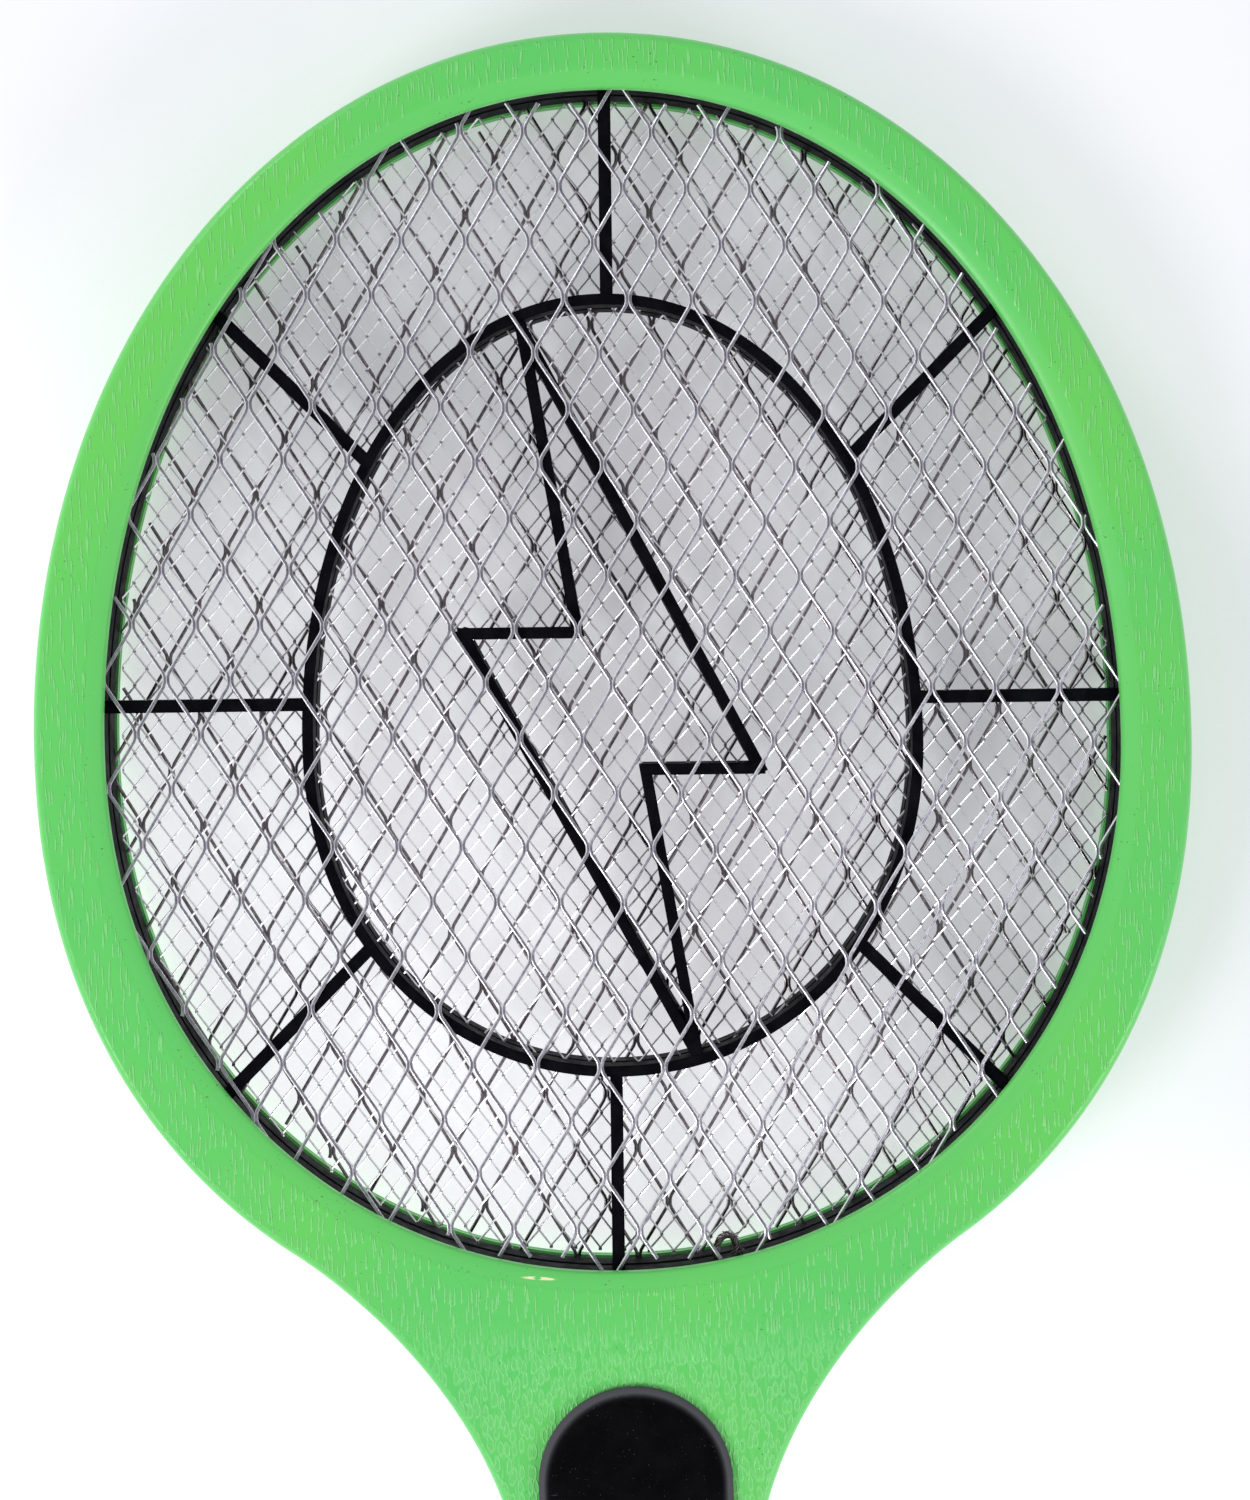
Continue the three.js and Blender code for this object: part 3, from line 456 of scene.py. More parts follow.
def embossed_grain(s):
    """Relief from 0 to 1: upright strokes, and on the neck small ringed beads."""
    wobble = s.noise(6.0, 2.0, 0.5, out="Color")
    shift = s.vector("MULTIPLY_ADD", wobble, (0.0009, 0.0018, 0), s.where)

    def reach(across, along, turn, half_width, half_length):
        """Distance from the nearest cell point of a stretched pattern, counted as 1 at an ellipse's edge."""
        stretch = (1 / (across * MM), 1 / (along * MM), 0)
        at = s.node("Mapping", 0, {}, Vector=shift, Rotation=(0, 0, turn), Scale=stretch)
        flat = {"voronoi_dimensions": "2D"}
        spot = s.node("TexVoronoi", "Position", flat, Vector=at, Scale=1.0, Randomness=0.85)
        size = (across / half_width, along / half_length, 0)
        return s.vector("LENGTH", s.vector("MULTIPLY", s.vector("SUBTRACT", at, spot), size), output="Value")

    def stroke(*shape):
        return s.ramp(reach(*shape), 0.4, 1.0, 1.0, 0.0)

    on_neck = s.ramp(s.axis("Y"), 0.022, 0.002)
    gaps = s.ramp(s.noise(3.4, 3.0, 0.6), 0.24, 0.38)
    lone = s.math("MAXIMUM", stroke(1.45, 4.4, 0.0, 0.26, 1.9), stroke(2.1, 5.6, 0.05, 0.24, 2.2))
    lone = s.times(lone, gaps, s.ramp(on_neck, 0, 1, 1.0, 0.25))
    bead = reach(1.25, 3.1, 0.0, 0.50, 1.45)
    bead_rim = s.times(s.ramp(bead, 0.4, 0.8), s.ramp(bead, 0.9, 1.25, 1.0, 0.0))
    bead_fill = s.times(s.ramp(bead, 0.6, 0.9, 1.0, 0.0), 0.25)
    beads = s.times(s.math("MAXIMUM", bead_rim, bead_fill), on_neck)
    return s.math("MAXIMUM", s.times(beads, 0.8), lone)


def green_plastic():
    """Bright green, with grain on the faces and smooth lips and edges, with painted highlights on the grain
    and painted sheen on the smooth lips and edges.
    """
    s = Surface("green_plastic")
    upright = s.math("ABSOLUTE", s.axis("Z", s.node("TexCoord", "Normal")))
    grained = s.times(s.ramp(upright, 0.90, 0.975), lip_mask(s, 2.7))
    relief = s.times(embossed_grain(s), grained)
    patchy = s.ramp(s.noise(70.0, 3.0, 0.5), 0.32, 0.68)
    body = s.mix(patchy, linear(88, 200, 98), linear(102, 205, 88))
    # Lighter green on the grain's strokes and beads: painted highlights on the embossing.
    body = s.mix(s.times(relief, 0.46), body, linear(150, 228, 146))
    # Lighter green on the smooth lips and rounded edges: painted sheen.
    smooth_band = s.math("SUBTRACT", 1.0, grained)
    body = s.mix(s.times(smooth_band, 0.45), body, linear(104, 208, 106))
    body = s.mix(edge_dirt(s, 0.5, 0.8), body, linear(60, 74, 34))
    # A cream painted highlight on the lower edge of the front opening.
    body = s.mix(painted_lip_highlight(s), body, linear(244, 240, 196))
    s.bump(s.noise(0.35, 3.0, 0.6), 0.012)
    s.bump(relief, 0.13)
    rough = s.ramp(s.noise(9.0, 4.0, 0.6), 0.25, 0.75, 0.30, 0.42)
    return s.done(body, s.math("SUBTRACT", rough, s.times(relief, 0.08)), 0, 0.45)


def painted_lip_highlight(s):
    """1 on the painted highlight at the lower edge of the front opening."""
    at = s.node("Mapping", 0, {"vector_type": "TEXTURE"}, Vector=s.where, Location=(-0.0158, 0.0242, 0),
                Rotation=(0, 0, -0.1), Scale=(0.0034, 0.0003, 1.0))
    spread = s.ramp(s.vector("LENGTH", at, output="Value"), 0.7, 1.0, 1.0, 0.0)
    in_front = s.ramp(s.axis("Z"), 0.014, 0.018)
    return s.times(spread, in_front, s.ramp(s.noise(1.2, 3.0, 0.6), 0.35, 0.5))


def lip_mask(s, reach):
    """0 within reach of the opening and 1 beyond it."""
    half, up, down = (r + reach for r in OPENING_OVAL[:3])
    y = s.math("SUBTRACT", s.axis("Y"), OVAL_CENTRE_Y * MM)
    above = s.math("DIVIDE", s.math("MAXIMUM", y, 0.0), up * MM)
    below = s.math("DIVIDE", s.math("MINIMUM", y, 0.0), -down * MM)
    across = s.math("DIVIDE", s.math("ABSOLUTE", s.axis("X")), half * MM)
    total = s.math("POWER", s.math("ADD", above, below), OVAL_POWER)
    total = s.math("ADD", total, s.math("POWER", across, OVAL_POWER))
    return s.ramp(total, 0.997, 1.010)


def web_plastic():
    s = Surface("black_web_plastic")
    tone = s.ramp(s.noise(3.0, 4.0, 0.6), 0.3, 0.75)
    dusty = s.times(s.ramp(s.noise(0.5, 3.0, 0.6), 0.6, 0.8), 0.25)
    color = s.mix(tone, linear(6, 6, 10), linear(14, 14, 20))
    color = s.mix(dusty, color, linear(58, 58, 66))
    s.bump(s.noise(0.6, 4.0, 0.6), 0.03)
    return s.done(color, s.ramp(s.noise(2.0), 0.3, 0.7, 0.46, 0.62), 0, 0.03)


def panel_plastic():
    """Black with a fine matt texture, dust, a few pale fibres and a painted highlight on the rounded edge."""
    s = Surface("black_panel_plastic")
    tone = s.ramp(s.noise(5.0, 4.0, 0.6), 0.3, 0.75)
    color = s.mix(tone, linear(3, 3, 5), linear(9, 9, 12))
    # Grey on the rounded edge, where the face tilts: a painted highlight.
    painted_edge_sheen = s.ramp(s.axis("Z", s.node("TexCoord", "Normal")), 0.9995, 0.93)
    color = s.mix(s.times(painted_edge_sheen, 0.9), color, linear(84, 84, 88))
    specks = s.ramp(s.noise(0.28, 1.0, 0.4), 0.73, 0.80)
    stretched = s.node("Mapping", 0, {}, Vector=s.where, Rotation=(0, 0, 0.5), Scale=(260, 2600, 260))
    fibres = s.ramp(s.noise(1000.0, 1.0, 0.4, at=stretched), 0.77, 0.83)
    marks = s.math("ADD", s.times(specks, 0.4), s.times(fibres, 0.3), clamp=True)
    color = s.mix(marks, color, linear(120, 120, 128))
    s.bump(s.noise(0.22, 3.0, 0.65), 0.03)
    s.bump(s.noise(4.0, 2.0), 0.05)
    return s.done(color, s.ramp(s.noise(1.6, 3.0), 0.3, 0.7, 0.42, 0.6), 0, 0.035)


def grid_metal(name, pale, dark, rusty, bonded=0.35, metallic=1.0, painted_edge_highlight=0.0):
    """Expanded metal: streaks along the strands, darker bonds, painted highlights on the strand edges and a
    few rust spots.
    """
    s = Surface(name)
    bond = s.node("Attribute", "Fac", {"attribute_name": "bond"})
    streak = s.ramp(s.noise(0.9, 4.0, 0.65), 0.3, 0.72)
    color = s.mix(streak, pale, dark)
    color = s.mix(s.times(bond, bonded), color, linear(70, 66, 72))
    # Pale, less metallic strand edges: painted highlights along the bevels.
    if painted_edge_highlight:
        edge = s.ramp(s.node("Attribute", "Fac", {"attribute_name": "edge"}), 0.1, 0.75)
        color = s.mix(s.times(edge, painted_edge_highlight), color, linear(244, 242, 248))
        metallic = s.math("SUBTRACT", metallic, s.times(edge, 0.7 * painted_edge_highlight))
    rust = s.times(s.ramp(s.noise(2.4, 3.0, 0.6), rusty, rusty + 0.04), 0.9)
    color = s.mix(rust, color, linear(92, 58, 42))
    s.bump(s.noise(0.5, 3.0, 0.6), 0.03)
    return s.done(color, s.ramp(s.noise(1.4, 3.0), 0.3, 0.7, 0.24, 0.42), metallic)


def plain_surface(name, color, rough, metallic=0.0, size=2.0, relief=0.02, spread=0.25, **more):
    """A material with mottled colour, uneven gloss and fine relief at one scale."""
    s = Surface(name)
    tone = s.ramp(s.noise(size * 3, 4.0, 0.6), 0.25, 0.75)
    shades = [tuple(c * k for c in color[:3]) + (1.0,) for k in (1 - spread, 1 + spread)]
    body = s.mix(tone, *shades)
    s.bump(s.noise(size * 0.3, 4.0, 0.6), relief)
    return s.done(body, s.ramp(s.noise(size), 0.3, 0.7, rough * 0.8, rough * 1.2), metallic, **more)


def wound_wire():
    s = Surface("copper_winding")
    bands = {"wave_type": "BANDS", "bands_direction": "Y"}
    turns = s.node("TexWave", "Fac", bands, Vector=s.where, Scale=800.0, Distortion=0.4, Detail=1.0)
    # Dark between the turns and light on their crowns: painted shade and painted highlight along the winding.
    color = s.mix(turns, linear(96, 44, 22), linear(196, 112, 62))
    s.bump(turns, 0.12)
    return s.done(color, s.ramp(s.noise(1.0), 0.3, 0.7, 0.28, 0.42), 0.9)


def board_lacquer():
    """Green lacquer over copper tracks."""
    s = Surface("board_lacquer")
    tracks = s.node("TexBrick", "Fac", {"offset": 0.4}, Vector=s.where, Scale=300.0, Mortar_Size=0.03)
    color = s.mix(s.times(tracks, 0.6), linear(22, 84, 44), linear(58, 132, 66))
    s.bump(tracks, 0.05)
    return s.done(color, s.ramp(s.noise(2.0), 0.3, 0.7, 0.26, 0.4))


def cell_wrap():
    """Plain blue wrap with bare metal at both ends, along Y."""
    s = Surface("cell_wrap")
    low, high = node_box("battery_left")
    half = (high[1] - low[1]) / 2 * MM
    along = s.math("SUBTRACT", s.axis("Y"), node_middle("battery_left")[1] * MM)
    bare = s.ramp(s.math("ABSOLUTE", along), half - 3.4 * MM, half - 3.2 * MM)
    band = s.ramp(along, 0.2 * half, 0.22 * half)
    wrap = s.mix(band, linear(38, 66, 124), linear(196, 200, 206))
    scuffs = s.times(s.ramp(s.noise(1.2, 5.0, 0.7), 0.6, 0.75), 0.3)
    wrap = s.mix(scuffs, wrap, linear(210, 212, 216))
    s.bump(s.noise(3.0), 0.03)
    color = s.mix(bare, wrap, linear(176, 176, 180))
    return s.done(color, s.ramp(s.noise(1.5), 0.3, 0.7, 0.22, 0.36), 0.25)


GREEN = green_plastic()
WEB_BLACK = web_plastic()
PANEL_BLACK = panel_plastic()
COARSE_METAL = grid_metal("coarse_grid_metal", linear(176, 174, 184), linear(128, 125, 136), 0.735,
                          painted_edge_highlight=0.9)
# A darker copy of the coarse grid metal for the rear grid: painted shade, as that grid lies in shadow behind
# the others.
SHADED_REAR_METAL = grid_metal("shaded_rear_grid_metal", linear(150, 142, 144), linear(98, 90, 92), 0.72, painted_edge_highlight=0.25)
FINE_METAL = grid_metal("fine_grid_metal", linear(252, 250, 254), linear(226, 224, 230), 0.75, 0.85, 0.6)
SPLICE_METAL = grid_metal("splice_metal", linear(150, 144, 146), linear(78, 70, 74), 0.6)
BUTTON_BLACK = plain_surface("black_button_plastic", linear(30, 30, 34), 0.42, size=1.2, relief=0.02)
TRAY_BLACK = plain_surface("black_tray_plastic", linear(36, 36, 40), 0.5, size=1.5, relief=0.03)
STEEL = plain_surface("plated_steel", linear(176, 176, 182), 0.3, 1.0, size=0.8, relief=0.01, spread=0.12)
RED_WIRE = plain_surface("red_insulation", linear(186, 36, 30), 0.36, size=1.5, relief=0.01)
BLACK_WIRE = plain_surface("black_insulation", linear(26, 26, 30), 0.4, size=1.5, relief=0.01)
LAMP_RED = plain_surface("lamp_resin", linear(208, 44, 34), 0.16, size=1.5, relief=0.005, spread=0.12,
                         Transmission_Weight=0.35)
FERRITE = plain_surface("ferrite", linear(52, 52, 56), 0.62, size=0.8, relief=0.04)
RED_LACQUER = plain_surface("red_lacquer", linear(166, 58, 38), 0.3, size=2.0, relief=0.03)
TAN_LACQUER = plain_surface("tan_lacquer", linear(206, 160, 84), 0.36, size=1.4, relief=0.02)
COPPER = wound_wire()
BOARD = board_lacquer()
CELL = cell_wrap()

# ---- green housing


def quarter_round(width, depth, steps=6):
    """(inset, drop) pairs from the foot of a rounded edge to the face above it."""
    angles = np.linspace(0, math.pi / 2, steps)
    return [(width * (1 - math.cos(a)), depth * (1 - math.sin(a))) for a in angles]


# The opening's lip, from its inner edge out to the face, as (distance outwards, drop below the face).
LIP_PROFILE = ((0.0, 1.8), (0.1, 1.42), (0.45, 1.08), (1.4, 0.66), (2.4, 0.30), (3.2, 0.08), (3.8, 0.0))
LIP_CUT_DEPTH = 14.0
CLEARANCE = 2.0
RIM_ROUND = (1.8, 2.6)
SCREW_WELL_RADIUS, SCREW_WELL_DEPTH = 2.3, 1.9
SEAT_WIDTH = 4.0
HOLE_INSET, HOLE_END_INSET = 1.5, 1.8


def opening_cutter(face_z, direction, grow=0.0):
    """The opening's sloped lip. direction is +1 for the front face and -1 for the back."""
    profile = ((0.0, LIP_CUT_DEPTH), *LIP_PROFILE, (LIP_PROFILE[-1][0] + 0.1, -CLEARANCE))
    levels = [(-out, face_z - direction * drop) for out, drop in profile]
    return stacked(oval_points(OPENING_OVAL, grow), levels if direction > 0 else levels[::-1])


def slab(low_y, high_y):
    """A block across the whole object between two places along it, for cutting."""
    wide, above = HEAD_HALF + 20, GRIP_FRONT_Z + 4
    return block((-wide, low_y, -5), (wide, high_y, above))


def panel_outline(inset, end_inset):
    return stadium_loop(PANEL_HALF - inset, PANEL_HIGH[1] - end_inset, PANEL_LOW[1] + end_inset)


def post(x, y, bottom, top, radius, sides=32):
    points, faces = turned([(0, bottom), (radius, bottom), (radius, top), (0, top)], sides)
    return points + [x, y, 0], faces


SCREWS = [name for name in sorted(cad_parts) if name.startswith("housing_screw")]


def front_shell():
    loop = racket_loop()
    outside = [(0.0, PARTING_TOP)]
    outside += [(inset, lambda y, d=drop: front_height(y) - d) for inset, drop in quarter_round(*RIM_ROUND)]
    inside = [(WALL, PARTING_TOP - 1), (WALL, lambda y: front_height(y) - LID)]
    shell = finish_mesh("front_shell_skin", *stacked(loop, outside))
    hole = panel_outline(HOLE_INSET, HOLE_END_INSET)
    carve(shell, [
        stacked(loop, inside),
        opening_cutter(FRONT_Z, 1),
        stacked(hole, [(0, FRONT_Z - 2 * LID), (0, FRONT_Z + CLEARANCE)]),
    ])
    weigh_normals(shade(shell, 40))
    return piece(shell, "housing", "green_plastic", GREEN, "front_shell")


def back_levels():
    """The (inset, height) levels of the rear half's outside and inside."""
    outside = quarter_round(*RIM_ROUND)[::-1] + [(0.0, PARTING_BOTTOM)]
    inside = [(WALL, LID), (WALL, PARTING_BOTTOM + 1)]
    return outside, inside


def rear_shell():
    loop = racket_loop()
    outside, inside = back_levels()
    shell = finish_mesh("rear_shell_skin", *stacked(loop, outside))
    cuts = [
        stacked(loop, inside),
        opening_cutter(0, -1, REAR_GROWTH),
        slab(BUTT_Y - 10, COVER_START_Y),
    ]
    for name in SCREWS:
        x, y, _ = node_middle(name)
        cuts.append(post(x, y, -1, SCREW_WELL_DEPTH, SCREW_WELL_RADIUS))
    carve(shell, cuts)
    weigh_normals(shade(shell, 40))
    return piece(shell, "housing", "green_plastic", GREEN, "rear_shell")


def inner_structure():
    """The rear seat of the grid stack, and the screw bosses of both halves."""
    sunk = 0.5
    foot = LID - sunk
    seat_section = [(0, foot), (0, SEAT_Z), (-SEAT_WIDTH, SEAT_Z), (-SEAT_WIDTH, foot)]
    seat = ring_solid(oval_points(OPENING_OVAL, REAR_GROWTH), seat_section)
    parts = [(seat[0], [face[::-1] for face in seat[1]])]
    for name in SCREWS:
        x, y, _ = node_middle(name)
        parts.append(post(x, y, PARTING_TOP, FRONT_Z - foot, BOSS_RADIUS, 24))
        parts.append(post(x, y, foot, PARTING_BOTTOM, BOSS_RADIUS, 24))
    bosses = finish_mesh("housing_bosses", *joined(parts))
    return piece(bosses, "housing", "green_plastic", GREEN)


def battery_cover():
    loop = racket_loop()
    outside, inside = back_levels()
    cover = finish_mesh("battery_cover_skin", *stacked(loop, outside))
    cuts = [stacked(loop, inside), slab(COVER_TOP_Y, TOP_Y + 10)]
    grooves, first, step = 5, 14, 3.2
    for groove in range(grooves):
        y = COVER_TOP_Y - first - step * groove
        half = 9 - 0.8 * abs(groove - grooves // 2)
        rod = [
            (0, -half), (0.5, -half + 0.5), (0.8, -half + 1), (0.8, half - 1), (0.5, half - 0.5), (0, half),
        ]
        points, faces = turned(rod, 20)
        cuts.append((points[:, [2, 1, 0]] * [1, 1, -1] + [0, y, -0.15], faces))
    carve(cover, cuts)
    latch = joined([
        block((-3.5, COVER_TOP_Y - 7, LID - 0.4), (3.5, COVER_TOP_Y - 1, LID + 1.4)),
        block((-3.45, COVER_TOP_Y - 6.9, LID + 0.3), (3.45, COVER_TOP_Y + 5, LID + 1.35)),
    ])
    weigh_normals(shade(cover, 40))
    piece(cover, "cover", "green_plastic", GREEN, "battery_cover")
    tab = soften(finish_mesh("cover_tongue", *latch), 0.25)
    return piece(tab, "cover", "green_plastic", GREEN)


# ---- webs

WEB_FACE = 1.9
SPOKE_WIDTH = 2.2
RIB_WIDTH = 2.0
RING_WIDTH, RING_FACE = 2.6, 2.0
CHAMFER = 0.22
ZIGZAG_HALF = ((-15.0, 65.4), (-5.8, 12.1), (-26.0, 12.1))


def upright_section(inner, outer, low, high):
    """A chamfered upright section between two insets, for ring_solid."""
    c = CHAMFER
    return [
        (outer, low + c), (outer, high - c), (outer + c, high), (inner - c, high),
        (inner, high - c), (inner, low + c), (inner - c, low), (outer + c, low),
    ]


def beam(start, end, width, low, high):
    """A straight rib with chamfered edges."""
    start, end = np.array(start, float), np.array(end, float)
    along = unit(end - start)
    across = np.array([-along[1], along[0]]) * width / 2
    c = CHAMFER
    inner = 1 - 2 * c / width
    section = [
        (-1, low + c), (-inner, low), (inner, low), (1, low + c),
        (1, high - c), (inner, high), (-inner, high), (-1, high - c),
    ]
    points = [[*(spot + across * s), z] for spot in (start, end) for s, z in section]
    faces = [[i, (i + 1) % 8, (i + 1) % 8 + 8, i + 8] for i in range(8)]
    faces += [list(range(8))[::-1], list(range(8, 16))]
    return np.array(points), [face[::-1] for face in faces]


def turned_about_web(x, y):
    c, s = math.cos(WEB_TURN), math.sin(WEB_TURN)
    return WEB_CENTRE + np.array([c * x - s * y, s * x + c * y])


def oval_reach(oval, angle, grow):
    """Where a ray from the web's centre meets an oval."""
    direction = np.array([math.cos(angle), math.sin(angle)])
    low, high = 0.0, 140.0
    for _ in range(40):
        middle = (low + high) / 2
        if inside_oval((WEB_CENTRE + direction * middle)[None], oval, grow)[0]:
            low = middle
        else:
            high = middle
    return WEB_CENTRE + direction * low


def within_web_oval(corner):
    """Pulls a corner of the zigzag back until it lies in the oval's band."""
    while not inside_oval(corner[None], WEB_OVAL, -1.6)[0]:
        corner = WEB_CENTRE + (corner - WEB_CENTRE) * 0.995
    return corner


def spacer_web(name, node):
    (_, _, z0), (_, _, z1) = node_box(node)
    parts = [
        ring_solid(oval_points(OPENING_OVAL, RING_WIDTH), upright_section(RING_FACE, 0, z0, z1)),
        ring_solid(oval_points(WEB_OVAL, 0, steps=240), upright_section(WEB_FACE, 0, z0 + 0.05, z1 - 0.05)),
    ]
    for k in range(8):
        angle = WEB_TURN + k * math.pi / 4
        start = oval_reach(WEB_OVAL, angle, -0.9)
        end = oval_reach(OPENING_OVAL, angle, 1.2)
        parts.append(beam(start, end, SPOKE_WIDTH, z0 + 0.1, z1 - 0.1))
    half = np.array(ZIGZAG_HALF)
    corners = [within_web_oval(turned_about_web(*corner)) for corner in (*half, *-half)]
    for i, corner in enumerate(corners):
        after = corners[(i + 1) % len(corners)]
        reach = unit(after - corner) * RIB_WIDTH * 0.42
        clear = 0.14 + 0.03 * i
        parts.append(beam(corner - reach, after + reach, RIB_WIDTH, z0 + clear, z1 - clear))
    web = finish_mesh(name, *joined(parts), smooth_angle=25)
    return piece(web, "housing", "black_web_plastic", WEB_BLACK, node)


# ---- grids

# How far the rows and columns are laid from a grid's origin, before the opening's oval trims them.
GRID_DOWN, GRID_UP, GRID_SIDE = 66, 160, 110


def expanded_metal(name, node, material, slot, spec):
    """Zigzag ribbons that run up the head and meet their neighbours at the bonds, inside the grid's oval."""
    z_middle = node_middle(node)[2]
    across = np.array(spec["across"])
    upward = np.array(spec["upward"])
    origin = np.array(spec["origin"])
    width, thick, bond = spec["width"], spec["thick"], spec["bond"]
    half_node = width * 0.46
    tilt = math.tan(math.radians(spec["tilt"]))
    rng = np.random.default_rng(spec["seed"])
    phases = rng.uniform(0, 2 * math.pi, 6)
    section = ribbon_section(width, thick, spec["bevelled"])
    row_length, pitch = np.linalg.norm(upward), np.linalg.norm(across)
    start_row = -int(GRID_DOWN / row_length) - 2
    rows = int((GRID_DOWN + GRID_UP) / row_length) + 4
    columns = int(GRID_SIDE / pitch) * 2 + 2
    flat = bond / 2 / row_length
    steps = np.array([0, 0.6 * flat, 1.4 * flat, 0.5, 1 - 1.4 * flat, 1 - 0.6 * flat] if spec["bevelled"]
                     else [0, flat, 1 - flat])
    all_points, all_faces, bonded, edges, count = [], [], [], [], 0
    for j in range(-columns, columns):
        row = np.repeat(np.arange(start_row, start_row + rows), len(steps))
        t = np.tile(steps, rows)
        left_here = (row + j) % 2 == 0
        side_here = np.where(left_here, half_node, pitch / 2 - half_node)
        side_next = np.where(left_here, pitch / 2 - half_node, half_node)
        f = np.clip((t - flat) / (1 - 2 * flat), 0, 1)
        lateral = j * pitch / 2 + side_here + (side_next - side_here) * f
        line = origin + lateral[:, None] * unit(across) + (row + t)[:, None] * upward
        line = line + warp(line, phases, spec["warp"])
        rise = width * 0.5 * tilt * np.where(left_here, -1, 1) * (1 - 2 * f)
        z = z_middle + rise + 0.012 * (1 if j % 2 else -1)
        z = z + 0.12 * np.sin(line[:, 0] / 23 + phases[4]) * np.sin(line[:, 1] / 31 + phases[5])
        near_bond = 1 - np.clip(np.minimum(t, 1 - t) / (spec["fade"] * flat), 0, 1)
        keep = inside_oval(line, OPENING_OVAL, spec["grow"] + rng.uniform(-0.25, 0.25))
        for run in runs_of(keep, 4):
            points, faces = ribbon(np.column_stack([line[run], z[run]]), section, tilt)
            all_points.append(points)
            all_faces += [[count + c for c in face] for face in faces]
            bonded.append(np.repeat(near_bond[run], len(section)))
            edges.append(np.tile(np.abs([a for a, _ in section]) > width * 0.49, len(near_bond[run])))
            count += len(points)
    grid = finish_mesh(name, np.concatenate(all_points), all_faces, smooth_angle=30)
    for mark, values in (("bond", bonded), ("edge", edges)):
        attribute = grid.data.attributes.new(mark, "FLOAT", "POINT")
        attribute.data.foreach_set("value", np.concatenate(values).astype(np.float32))
    return piece(grid, "housing", slot, material, node)


def ribbon_section(width, thick, bevelled):
    """(across, up) corners of a strand's section."""
    w, t = width / 2, thick / 2
    if not bevelled:
        return [(-w, -t), (w, -t), (w, t), (-w, t)]
    b = thick * 0.27
    return [
        (-w, -t + b), (-w + b, -t), (w - b, -t), (w, -t + b),
        (w, t - b), (w - b, t), (-w + b, t), (-w, t - b),
    ]


def warp(line, phases, amount):
    """Slow unevenness of hand-laid metal."""
    x, y = line[:, 0], line[:, 1]
    dx = np.sin(y / 29 + phases[0]) + 0.6 * np.sin((x + y) / 17 + phases[1])
    dy = np.sin(x / 26 + phases[2]) + 0.6 * np.sin((x - y) / 19 + phases[3])
    return amount * np.stack([dx, dy], 1)


def runs_of(keep, least):
    """Index ranges of unbroken stretches."""
    edges = np.flatnonzero(np.diff(np.concatenate([[0], keep.astype(int), [0]])))
    return [slice(a, b) for a, b in zip(edges[::2], edges[1::2]) if b - a >= least]


def ribbon(line, section, tilt):
    """Sweeps a section along a line; its face leans towards +X by the sheet's tilt."""
    along = unit(np.gradient(line, axis=0))
    facing = unit(np.array([tilt, 0, 1.0]))
    normal = unit(facing - along * (along @ facing)[:, None])
    across = np.cross(along, normal)
    count = len(section)
    rings = [line + across * a + normal * u for a, u in section]
    points = np.stack(rings, 1).reshape(-1, 3)
    faces = []
    for i in range(len(line) - 1):
        for k in range(count):
            a, b = i * count + k, i * count + (k + 1) % count
            faces.append([a, b, b + count, a + count])
    faces.append(list(range(count))[::-1])
    faces.append([(len(line) - 1) * count + k for k in range(count)])
    return points, faces


# Widths, thicknesses and bonds are in millimetres and the tilt in degrees; across and upward are mesh steps.
COARSE = {
    "width": 0.60, "thick": 0.52, "bond": 1.7, "fade": 2.2, "tilt": 20,
    "bevelled": True, "grow": 1.9, "warp": 0.16,
}
FRONT_COARSE = dict(COARSE, across=(11.13, -0.43), upward=(-0.16, 9.6), origin=(6.8, 79.2), seed=11)
REAR_COARSE = dict(COARSE, across=(11.0, -0.25), upward=(0.12, 9.85), origin=(2.6, 83.0), seed=23)
FINE = {
    "width": 0.27, "thick": 0.24, "bond": 0.7, "fade": 1.0, "tilt": 32,
    "bevelled": False, "grow": 0.0, "warp": 0.12,
    "across": (4.35, -0.33), "upward": (0.1, 3.02), "origin": (1.2, 81.0), "seed": 37,
}

# ---- splice and leads


